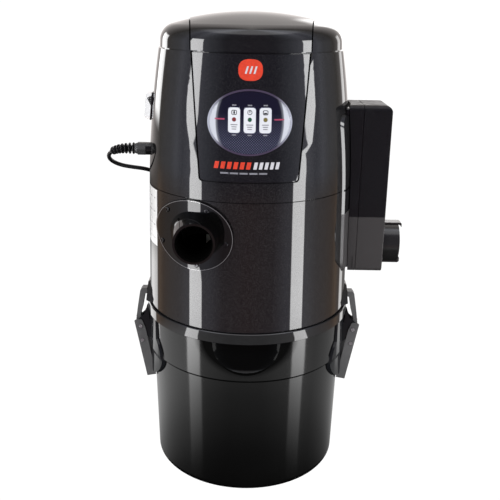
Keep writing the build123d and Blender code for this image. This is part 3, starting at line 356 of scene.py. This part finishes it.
def paint_cad():
    gloss = flake_gloss("housing_gloss", (0.003, 0.0026, 0.003))
    paint(gloss, "lower_housing", "upper_housing", "latch_keepers")
    hood = flake_gloss("hood_gloss", (0.003, 0.0028, 0.0032), 0.01)
    paint(hood, "hood_crown", "hood_shoulder_left", "hood_shoulder_right")
    paint(flake_gloss("panel_gloss", (0.003, 0.0028, 0.004), 0.014), "front_panel")
    paint(flake_gloss("rim_gloss", (0.003, 0.0028, 0.0035), 0.008), "tank_rim_ring")
    paint(tank_plastic(), "dirt_tank")
    paint(chrome(), "badge_bezel")
    paint(badge_overlay(), "badge_face")
    paint(window_print(), "indicator_windows")
    paint(lamp_lenses(), "indicator_leds")
    paint(satin_plastic("board_green", (0.01, 0.09, 0.03), 0.4), "indicator_board")
    paint(inlet_gloss(), "hose_inlet")
    paint(rubber("seal_rubber"), "tank_seal", "inlet_gasket")
    paint(metal("screw_steel", (0.05, 0.05, 0.052), 0.2), "inlet_screws")
    duct = satin_plastic("duct_plastic", (0.006, 0.006, 0.0065), 0.5)
    paint(duct, "inlet_elbow", "motor_deck", "exhaust_duct")
    paint(box_plastic(), "side_box_base", "side_box_cover")
    paint(saddle_plastic(), "side_box_saddle")
    paint(satin_plastic("port_plastic", (0.009, 0.0088, 0.009), 0.2, 0.00002), "blower_port")
    paint(satin_plastic("foam_grey", (0.05, 0.05, 0.055), 0.95, 0.0006, 350.0), "muffler_foam")
    paint(satin_plastic("switch_black", (0.006, 0.006, 0.006), 0.25), "switch_bezel", "switch_rocker")
    paint(clear_cover(), "switch_boot")
    paint(satin_plastic("gland_black", (0.004, 0.004, 0.004), 0.3), "gland_body")
    paint(satin_plastic("gland_nylon", (0.035, 0.035, 0.036), 0.4), "gland_nut")
    jacket = rubber("cord_jacket", (0.004, 0.004, 0.0045), 0.4)
    paint(jacket, "strain_relief", "power_cord", "cord_coil", "plug_body")
    paint(satin_plastic("tie_wrap", (0.012, 0.012, 0.012), 0.8, 0.0003, 700.0), "cord_tie")
    paint(metal("plug_brass", (0.78, 0.58, 0.3), 0.25), "plug_pins", "brush_holders")
    paint(metal("motor_steel", (0.45, 0.45, 0.46), 0.35), "motor_stator", "motor_bearings", "fan_shroud")
    paint(metal("rotor_copper", (0.65, 0.35, 0.2), 0.3), "armature")
    paint(metal("fan_aluminium", (0.75, 0.76, 0.78), 0.25), "fan_impeller")
    inner = satin_plastic("inner_black", (0.012, 0.012, 0.013), 0.5)
    paint(inner, "motor_frame", "filter_cage", "filter_retainer")
    paint(paper(), "filter_cartridge")
    paint(satin_plastic("ball_white", (0.7, 0.7, 0.68), 0.3), "float_ball")
    latch = satin_plastic("latch_satin", (0.075, 0.075, 0.077), 0.34, 0.0001, 500.0)
    paint(latch, "latch_lever_left", "latch_lever_right", "latch_hook_left", "latch_hook_right")
    pad = flake_gloss("latch_pad", (0.008, 0.0085, 0.01), 0.003, 0.4)
    paint(pad, "latch_base_left", "latch_base_right")
    rivet = metal("rivet_steel", (0.62, 0.62, 0.63), 0.4)
    paint(rivet, "latch_pivot_pins", "latch_link_pin_left", "latch_link_pin_right")
    paint(satin_plastic("bracket_coat", (0.012, 0.012, 0.013), 0.5, 0.00015, 420.0), "wall_bracket")
    paint(satin_plastic("cleat_plastic", (0.012, 0.012, 0.013), 0.4), "hanger_cleat")
    paint(rubber("bumper_rubber"), "rear_bumpers")
    ink("ink_red", (0.62, 0.04, 0.012))
    ink("ink_white", (0.55, 0.54, 0.58))
    ink("ink_pink", (0.4, 0.05, 0.11))
    ink("ink_navy", (0.018, 0.022, 0.09))
    # painted highlight for the inlet flange edge, made with the ink shader
    ink("painted_edge_highlight", (0.13, 0.125, 0.13), 0.1)
    ink("ink_black", (0.01, 0.01, 0.012))
    ink("ink_grey", (0.2, 0.2, 0.23))
    ink("label_white", (0.8, 0.8, 0.8), 0.45, 0.04)


# ------------------------------------------------------------------ the cord
CORD_D = 0.007
CORD_ROUTE = [
    (-0.1860, 0.0000, 0.5380),
    (-0.2040, 0.0000, 0.5380),
    (-0.2205, 0.0066, 0.5336),
    (-0.2319, 0.0184, 0.5256),
    (-0.2359, 0.0332, 0.5157),
    (-0.2319, 0.0480, 0.5058),
    (-0.2205, 0.0598, 0.4978),
    (-0.2040, 0.0664, 0.4934),
    (-0.1780, 0.0780, 0.4880),
    (-0.1520, 0.1040, 0.4720),
    (-0.1300, 0.1320, 0.4400),
    (-0.1190, 0.1480, 0.3920),
    (-0.1150, 0.1520, 0.3350),
    (-0.1170, 0.1530, 0.2750),
    (-0.1160, 0.1520, 0.2150),
    (-0.1170, 0.1550, 0.1570),
    (-0.1140, 0.1580, 0.1040),
    (-0.1080, 0.1650, 0.0600),
    (-0.0920, 0.1750, 0.0270),
    (-0.0620, 0.1800, 0.0065),
    (-0.0280, 0.1792, 0.0037),
]
COIL_CENTRE = (-0.020, 0.222)
COIL_TURNS = ((0.0435, 0.0036), (0.0365, 0.0036), (0.0365, 0.0107), (0.0435, 0.0107))


def coil_points():
    """The four turns, a diameter apart: outer and inner on the floor, then inner and outer on top."""
    steps = 16
    points = []
    for turn, (radius, height) in enumerate(COIL_TURNS):
        following = COIL_TURNS[min(turn + 1, len(COIL_TURNS) - 1)]
        for step in range(steps):
            share = max(0.0, (step / steps - 0.6) / 0.4)
            eased = share * share * (3 - 2 * share)
            r = radius + (following[0] - radius) * eased
            z = height + (following[1] - height) * eased
            angle = math.radians(-84) + 2 * math.pi * step / steps
            points.append((COIL_CENTRE[0] + r * math.cos(angle), COIL_CENTRE[1] + r * math.sin(angle), z))
    return points


def spline_curve(name, points, radius):
    """Open NURBS curve of order 3 through its end points, with a round section."""
    data = bpy.data.curves.new(name, "CURVE")
    data.dimensions = "3D"
    data.bevel_depth = radius
    data.bevel_resolution = 5
    data.resolution_u = 10
    data.use_fill_caps = True
    spline = data.splines.new("NURBS")
    spline.points.add(len(points) - 1)
    for point, place in zip(spline.points, points):
        point.co = (*place, 1.0)
    spline.order_u = 3
    spline.use_endpoint_u = True
    curve = bpy.data.objects.new(name, data)
    bpy.context.scene.collection.objects.link(curve)
    return curve


def make_cord():
    cord = spline_curve("mains_cord", CORD_ROUTE + coil_points(), CORD_D / 2)
    cord.data.materials.append(bpy.data.materials["cord_jacket"])
    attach(cord, "root")
    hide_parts("power_cord", "cord_coil")


# ------------------------------------------------------------------ strain relief
RELIEF_RIBS = 7
RELIEF_PITCH = 0.0062
RELIEF_BORE = 0.0037
RELIEF_CORE = 0.0048
RELIEF_CREST = 0.0098


def route_point(distance):
    """Place and heading along the cord's first bend, which is straight and then turns."""
    places = [Vector(point) for point in CORD_ROUTE[:5]]
    joints = [places[0]] + [(places[k] + places[k + 1]) / 2 for k in range(1, 4)]
    walked = 0.0
    before = joints[0]
    for first, bend, last in zip(joints, places[1:], joints[1:]):
        for step in range(1, 41):
            t = step / 40
            here = (1 - t) ** 2 * first + 2 * t * (1 - t) * bend + t * t * last
            walked += (here - before).length
            if walked >= distance:
                return here, (here - before).normalized()
            before = here
    return before, (last - bend).normalized()


def relief_radius(distance):
    """Tapering core with raised rounded ribs."""
    reach = RELIEF_RIBS * RELIEF_PITCH
    share = min(distance / reach, 1.0)
    phase = (distance / RELIEF_PITCH) % 1.0
    rib = max(0.0, math.sin(math.pi * min(phase / 0.56, 1.0))) ** 0.4 if phase < 0.56 else 0.0
    core = RELIEF_CORE - 0.0006 * share
    crest = RELIEF_CREST - 0.0034 * share
    return core + (crest - core) * rib


def make_strain_relief():
    mesh = bmesh.new()
    around = 40
    steps = 200
    reach = RELIEF_RIBS * RELIEF_PITCH
    rings = []
    stations = [(k / steps * reach, None) for k in range(steps + 1)]
    stations += [(reach, RELIEF_BORE), (0.0, RELIEF_BORE)]
    for distance, fixed in stations:
        middle, heading = route_point(max(distance, 1e-5))
        side = heading.cross(Vector((0, 0, 1))).normalized()
        above = side.cross(heading)
        radius = fixed or relief_radius(distance)
        turn = [2 * math.pi * k / around for k in range(around)]
        places = [middle + radius * (math.cos(a) * side + math.sin(a) * above) for a in turn]
        rings.append([mesh.verts.new(place) for place in places])
    rings.append(rings[0])
    for near, far in zip(rings, rings[1:]):
        for k in range(around):
            mesh.faces.new((near[k], near[(k + 1) % around], far[(k + 1) % around], far[k]))
    bmesh.ops.recalc_face_normals(mesh, faces=mesh.faces)
    sleeve = finished("ribbed_strain_relief", mesh, "cord_jacket", smooth=True)
    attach(sleeve, "root")
    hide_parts("strain_relief")


def finished(name, mesh, material, smooth=False):
    """Turns a bmesh into a piece with one material."""
    data = bpy.data.meshes.new(name)
    mesh.to_mesh(data)
    mesh.free()
    data.materials.append(bpy.data.materials[material])
    for polygon in data.polygons:
        polygon.use_smooth = smooth
    piece = bpy.data.objects.new(name, data)
    bpy.context.scene.collection.objects.link(piece)
    return piece


# ------------------------------------------------------------------ printed marks
PRINT_LIFT = 0.00015
UPPER_LIFT = 0.0003
PRINT_SINK = 0.0001


def surface_tree(*names):
    """One search tree over several CAD nodes."""
    points = []
    faces = []
    for name in names:
        data = NODES[name].data
        start = len(points)
        points += [vertex.co.copy() for vertex in data.vertices]
        faces += [[start + k for k in polygon.vertices] for polygon in data.polygons]
    return BVHTree.FromPolygons(points, faces)


def front_cast(tree, x, z):
    """Place on the front of the shell, and the way out of it."""
    out = Vector((0, -1, 0))
    return tree.ray_cast(Vector((x, -0.4, z)), -out)[0], out


def side_cast(tree, angle, z):
    """Place on the round housing at an angle from the front, and the way out of it."""
    out = Vector((math.sin(angle), -math.cos(angle), 0))
    return tree.ray_cast(out * 0.4 + Vector((0, 0, z)), -out)[0], out


def print_mark(name, tree, shapes, material, body="root", start=0.0, rings=3, cast=front_cast,
               lift=PRINT_LIFT):
    """Thin closed shells that follow the surface, one for each star-shaped outline."""
    mesh = bmesh.new()
    for outline in shapes:
        count = len(outline)
        mid = [sum(point[k] for point in outline) / count for k in (0, 1)]
        shares = [start + (1 - start) * k / rings for k in range(rings + 1)]
        layers = []
        for height in (lift, -PRINT_SINK):
            layer = []
            for share in shares:
                ring = []
                for point in outline if share > 0 else [mid]:
                    place, out = cast(tree, *(m + share * (p - m) for m, p in zip(mid, point)))
                    ring.append(mesh.verts.new(place + height * out))
                layer.append(ring)
            layers.append(layer)
        for layer in layers:
            for near, far in zip(layer, layer[1:]):
                for k in range(count):
                    after = (k + 1) % count
                    if len(near) == 1:
                        mesh.faces.new((near[0], far[k], far[after]))
                    else:
                        mesh.faces.new((near[k], near[after], far[after], far[k]))
        edges = [-1] if start == 0 else [0, -1]
        for edge in edges:
            top, low = layers[0][edge], layers[1][edge]
            for k in range(count):
                mesh.faces.new((top[k], top[(k + 1) % count], low[(k + 1) % count], low[k]))
    bmesh.ops.recalc_face_normals(mesh, faces=mesh.faces)
    piece = finished(name, mesh, material)
    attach(piece, body)


def bar(x_low, x_high, z_low, z_high, slant=0.0, steps=6):
    """Outline of a bar, its top edge pushed sideways by slant."""
    corners = [(x_low, z_low), (x_high, z_low), (x_high + slant, z_high), (x_low + slant, z_high)]
    points = []
    for (xa, za), (xb, zb) in zip(corners, corners[1:] + corners[:1]):
        points += [(xa + (xb - xa) * k / steps, za + (zb - za) * k / steps) for k in range(steps)]
    return points


def oval(x, z, half_width, half_height, power=2.0, count=48):
    """Super-ellipse outline."""
    points = []
    for k in range(count):
        c, s = math.cos(2 * math.pi * k / count), math.sin(2 * math.pi * k / count)
        wide = math.copysign(abs(c) ** (2 / power), c)
        tall = math.copysign(abs(s) ** (2 / power), s)
        points.append((x + half_width * wide, z + half_height * tall))
    return points


def lozenge(x, z, half_width, half_height, corner, steps=8):
    """Outline of an upright rectangle with round corners."""
    points = []
    for quarter, (right, above) in enumerate(((1, 1), (-1, 1), (-1, -1), (1, -1))):
        for k in range(steps + 1):
            a = math.pi / 2 * (quarter + k / steps)
            points.append((x + right * (half_width - corner) + corner * math.cos(a),
                           z + above * (half_height - corner) + corner * math.sin(a)))
    return points


def drop(x, z, size):
    """Outline of a falling drop."""
    points = []
    for k in range(24):
        t = 2 * math.pi * k / 24
        points.append((x + size * 0.62 * math.sin(t) * math.sin(t / 2) ** 1.2, z + size * math.cos(t)))
    return points


def make_panel_marks(panel):
    """Emblem, stripes and rule on the front panel."""
    print_mark("emblem_disc", panel, [oval(0, 0.676, 0.017, 0.0145, 2.6)], "ink_red", rings=6)
    swirl = [bar(-0.008 + 0.006 * k, -0.0055 + 0.006 * k, 0.671, 0.681, 0.003) for k in range(3)]
    print_mark("emblem_bars", panel, swirl, "ink_white", lift=UPPER_LIFT)
    red = [bar(-0.0505 + 0.0092 * k, -0.0445 + 0.0092 * k, 0.5395, 0.5495, 0.002) for k in range(6)]
    print_mark("stripes_red", panel, red, "ink_red")
    white = [bar(0.006 + 0.0078 * k, 0.0108 + 0.0078 * k, 0.5395, 0.5495, 0.002) for k in range(5)]
    print_mark("stripes_white", panel, white, "ink_white")
    rule = [bar(-0.041 + 0.0138 * k, -0.0292 + 0.0138 * k, 0.5322, 0.5346, steps=10) for k in range(5)]
    print_mark("rule_line", panel, rule, "ink_grey")


def make_badge_marks(panel):
    """Dashes beside the windows, and lines and signs on them."""
    dashes = [bar(-0.0495, -0.0355, 0.6081, 0.6099), bar(0.0345, 0.0485, 0.6081, 0.6099)]
    print_mark("badge_dashes", panel, dashes, "ink_pink")
    columns = (-LAMP_X, 0.0, LAMP_X)
    lozenges = [lozenge(x, 0.608, 0.0087, 0.018, 0.0042) for x in columns]
    print_mark("window_borders", panel, lozenges, "ink_navy", start=0.97, rings=1,
               lift=0.0002)
    tabs = [bar(x - 0.003, x + 0.003, z, z + 0.0018) for x in columns for z in (0.5866, 0.6276)]
    print_mark("window_tabs", panel, tabs, "ink_grey")
    rows = ((0.0048, 0.6012), (0.0036, 0.5982), (0.0032, 0.5952))
    lines = [bar(x - w, x + w, z, z + 0.0012) for x in columns for w, z in rows]
    print_mark("window_lines", panel, lines, "ink_grey")
    icons = [drop(-LAMP_X, 0.6192, 0.0026), bar(-0.0006, 0.0006, 0.6187, 0.6212)]
    icons += [bar(LAMP_X - 0.0022, LAMP_X + 0.0022, 0.6166, 0.6186)]
    print_mark("window_icons", panel, icons, "ink_black", rings=2, lift=UPPER_LIFT)
    frames = [oval(0, 0.619, 0.0034, 0.0034, count=32)]
    frames += [oval(x, 0.6187, 0.0038, 0.0034, 4.0, 32) for x in (-LAMP_X, LAMP_X)]
    print_mark("window_frames", panel, frames, "ink_black", start=0.76, rings=1)


def make_flange_highlight():
    flange = surface_tree("hose_inlet")
    # painted highlight: a thin pale band along the flange edge, standing for light caught there
    edge = oval(-0.0819, 0.4355, 0.0601, 0.0527, count=96)
    print_mark("flange_highlight_band", flange, [edge], "painted_edge_highlight", start=0.985, rings=1)


def make_label():
    """Paper label with grey lines, on the side of the lower housing."""
    housing = surface_tree("lower_housing")
    left, right = math.radians(-98), math.radians(-61)
    sheet = bar(left, right, 0.3975, 0.4875, steps=24)
    print_mark("side_label", housing, [sheet], "label_white", rings=12, cast=side_cast)
    lines = [bar(left + 0.05, right - 0.05 - 0.11 * (k % 3), z, z + 0.0016, steps=16)
             for k, z in enumerate(0.408 + 0.0072 * n for n in range(10))]
    print_mark("side_label_lines", housing, lines, "ink_grey", rings=2, cast=side_cast,
               lift=UPPER_LIFT)


def make_prints():
    panel = surface_tree("front_panel", "badge_face", "badge_bezel", "indicator_windows")
    make_panel_marks(panel)
    make_badge_marks(panel)
    make_flange_highlight()
    make_label()


# ------------------------------------------------------------------ studio
FLOOR_HALF = 30.0
LIGHT_SIZE = (1.2, 1.6)
LIGHT_AIM = (0, 0, 0.4)


def make_floor():
    mesh = bpy.data.meshes.new("floor")
    corners = [(FLOOR_HALF * x, FLOOR_HALF * y, 0) for x, y in ((-1, -1), (1, -1), (1, 1), (-1, 1))]
    mesh.from_pydata(corners, [], [(0, 1, 2, 3)])
    floor = bpy.data.objects.new("floor", mesh)
    bpy.context.scene.collection.objects.link(floor)
    s = Shader("floor_white", (0.0, 0.0, 0.0), 0.9, Specular_IOR_Level=0.0)
    s.main.inputs["Emission Color"].default_value = (1.0, 1.0, 1.0, 1.0)
    s.main.inputs["Emission Strength"].default_value = 1.05
    mesh.materials.append(s.material)
    floor.visible_glossy = False


def make_world():
    """White studio: plain white to the eye, with dark flags and tall soft boxes in the reflections.

    Azimuth runs from 0 at the front to 180 degrees at the back, on both sides; rise is the elevation.
    """
    world = bpy.data.worlds.new("studio")
    bpy.context.scene.world = world
    world.use_nodes = True
    world.node_tree.nodes.clear()
    graph = Graph(world.node_tree)
    node, calc, mixed = graph.node, graph.math, graph.blend

    def ramp(value, stops):
        return graph.ramp(value, *stops)

    sky = node("ShaderNodeTexCoord").outputs["Generated"]
    parts = node("ShaderNodeSeparateXYZ", {"Vector": sky})
    x, y, z = (parts.outputs[letter] for letter in "XYZ")
    side = calc("ABSOLUTE", x)
    azimuth = calc("DIVIDE", calc("ARCTAN2", side, calc("MULTIPLY", y, -1.0)), math.pi)
    flat = calc("SQRT", calc("ADD", calc("MULTIPLY", x, x), calc("MULTIPLY", y, y)))
    rise = calc("ADD", calc("DIVIDE", calc("ARCTAN2", z, flat), math.pi), 0.5)

    def deg(angle):
        return angle / 180.0

    def up(angle):
        return angle / 180.0 + 0.5

    left = calc("LESS_THAN", x, 0.0)
    high = ramp(azimuth, [
        (deg(0), (0.17, 0.14, 0.19)), (deg(30), (0.17, 0.16, 0.21)), (deg(48), (0.5, 0.52, 0.62)),
        (deg(68), (1.0, 1.02, 1.2)), (deg(80), (0.6, 0.62, 0.75)), (deg(90), (0.8, 0.82, 0.95)),
        (deg(100), (0.52, 0.52, 0.56)), (deg(122), (0.27, 0.25, 0.23)), (deg(150), (0.8, 0.74, 0.72)),
        (deg(180), (1.15, 1.08, 1.05)),
    ])
    high_fade = ramp(rise, [(up(8), 1.0), (up(20), 0.8), (up(40), 1.0), (up(60), 1.5), (up(90), 1.6)])
    over = calc("MULTIPLY", ramp(azimuth, [(deg(60), 1.6), (deg(120), 0.0)]),
                ramp(rise, [(up(50), 0.0), (up(58), 1.0)]))
    middle = ramp(azimuth, [
        (deg(0), (0.3, 0.2, 0.21)), (deg(28), (0.3, 0.24, 0.27)), (deg(44), (0.6, 0.58, 0.68)),
        (deg(70), (0.85, 0.84, 0.92)), (deg(84), (0.58, 0.53, 0.54)), (deg(100), (0.45, 0.38, 0.35)),
        (deg(113), (0.38, 0.28, 0.22)), (deg(122), (0.5, 0.36, 0.26)), (deg(130), (0.3, 0.25, 0.22)),
        (deg(160), (0.1, 0.1, 0.1)),
    ])
    low_left = ramp(azimuth, [
        (deg(20), 0.36), (deg(52), 0.55), (deg(72), 1.0), (deg(130), 0.8), (deg(160), 0.5),
    ])
    low_right = ramp(azimuth, [
        (deg(20), 0.36), (deg(52), 0.55), (deg(72), 0.65), (deg(90), 0.44), (deg(180), 0.44),
    ])
    low = mixed(left, low_right, low_left)
    low_fade = ramp(rise, [(up(-39), 0.0), (up(-36), 0.1), (up(-33), 0.5), (up(-30.5), 1.0), (up(-29), 1.15)])
    into_high = ramp(rise, [(up(-12), 0.0), (up(-8), 1.0)])
    upper_part = mixed(into_high, middle, mixed(1.0, high, high_fade, "MULTIPLY"))
    into_low = ramp(rise, [(up(-24.3), 1.0), (up(-23.7), 0.0)])
    body = mixed(into_low, upper_part, mixed(1.0, low, low_fade, "MULTIPLY"))

    back_left = ramp(azimuth, [
        (deg(127), 0.0), (deg(130), 2.5), (deg(142), 2.3), (deg(151), 1.6), (deg(158), 0.2),
    ])
    back_right = ramp(azimuth, [(deg(134), 0.0), (deg(136), 2.1), (deg(143), 1.9), (deg(147), 0.1)])
    back_fade = ramp(rise, [(up(-27), 0.0), (up(-24), 1.0), (up(-18), 1.0), (up(-15), 0.0)])
    backdrop = calc("MULTIPLY", mixed(left, back_right, back_left), back_fade)
    slit_left = ramp(azimuth, [(deg(127), 0.0), (deg(129), 5.0), (deg(145), 5.0), (deg(147), 0.0)])
    slit_right = ramp(azimuth, [(deg(135), 0.0), (deg(137), 2.0), (deg(145), 2.0), (deg(147), 0.0)])
    slit_fade = ramp(rise, [(up(-5.2), 0.0), (up(-3.6), 1.0), (up(12), 1.0), (up(15), 0.0)])
    slit = calc("MULTIPLY", mixed(left, slit_right, slit_left), slit_fade)
    shelf_side = ramp(azimuth, [(deg(158), 0.0), (deg(163), 1.6), (deg(173), 1.6), (deg(174.5), 0.0)])
    shelf_fade = ramp(rise, [(up(-4), 0.0), (up(0), 1.0), (up(16), 1.0), (up(22), 0.0)])
    shelf = calc("MULTIPLY", calc("MULTIPLY", shelf_side, shelf_fade), calc("SUBTRACT", 1.0, left))

    def course(stops):
        """Azimuth in degrees as it changes with elevation, in the unit of azimuth."""
        return ramp(rise, [(up(angle), deg(value)) for angle, value in stops])

    # the tall strips: where the middle of each lies, and how far it reaches to either side
    middle_left = course([
        (-24.3, 65.8), (-23.7, 60.8), (-9, 61.4), (-7, 63.8), (-4, 67), (-3, 68.5), (0, 69),
    ])
    middle_right = course([
        (-24.3, 65), (-23.7, 58), (-9, 57.8), (-6, 62.5), (-4, 62), (-3, 71), (2, 73),
    ])
    reach_left = course([
        (-24.3, 9.5), (-23.7, 8.6), (-9, 8.2), (-7, 5), (-4, 3), (-3, 2.7), (0, 7.5), (2, 9),
    ])
    reach_right = course([
        (-24.3, 9.5), (-23.7, 8.2), (-9, 8.2), (-6, 4.5), (-4, 3.5), (-3, 3.5), (2, 7.5),
    ])
    apart = calc("ABSOLUTE", calc("SUBTRACT", azimuth, mixed(left, middle_right, middle_left)))
    inside = calc("MULTIPLY", calc("SUBTRACT", mixed(left, reach_right, reach_left), apart), 180.0)
    strip = calc("MINIMUM", calc("MAXIMUM", inside, 0.0), 1.0)
    strip_fade = ramp(rise, [
        (up(-36), 0.0), (up(-33.6), 0.05), (up(-31.5), 0.13), (up(-29.3), 0.26), (up(-28.2), 0.35),
        (up(-25), 0.7), (up(-20), 1.0), (up(14), 1.0), (up(17), 0.0),
    ])
    strip = calc("MULTIPLY", calc("MULTIPLY", strip, strip_fade), 11.0)
    lamps = calc("ADD", calc("ADD", backdrop, slit), calc("ADD", calc("ADD", shelf, over), strip))
    lit = mixed(1.0, body, lamps, "ADD")
    in_gloss = node("ShaderNodeLightPath").outputs["Is Glossy Ray"]
    plain = node("ShaderNodeBackground", {"Color": (1, 1, 1, 1), "Strength": 1.05})
    mirrored = node("ShaderNodeBackground", {"Color": lit, "Strength": 1.0})
    mix = node("ShaderNodeMixShader", {0: in_gloss, 1: plain.outputs[0], 2: mirrored.outputs[0]})
    node("ShaderNodeOutputWorld", {"Surface": mix.outputs[0]})


def area_light(name, place, power):
    """Large soft light aimed at the middle of the part, unseen in reflections."""
    data = bpy.data.lights.new(name, "AREA")
    data.shape = "RECTANGLE"
    data.size, data.size_y = LIGHT_SIZE
    data.energy = power
    light = bpy.data.objects.new(name, data)
    bpy.context.scene.collection.objects.link(light)
    light.location = place
    light.rotation_euler = (Vector(LIGHT_AIM) - Vector(place)).to_track_quat("-Z", "Y").to_euler()
    light.visible_glossy = False


def make_lights():
    area_light("key", (-1.6, -1.9, 1.9), 26.0)
    area_light("fill", (1.8, -1.5, 1.5), 18.0)
    bpy.context.scene.view_settings.view_transform = "Standard"


# ------------------------------------------------------------------ assembly
make_camera()
paint_cad()
make_cord()
make_strain_relief()
make_prints()
make_floor()
make_world()
make_lights()
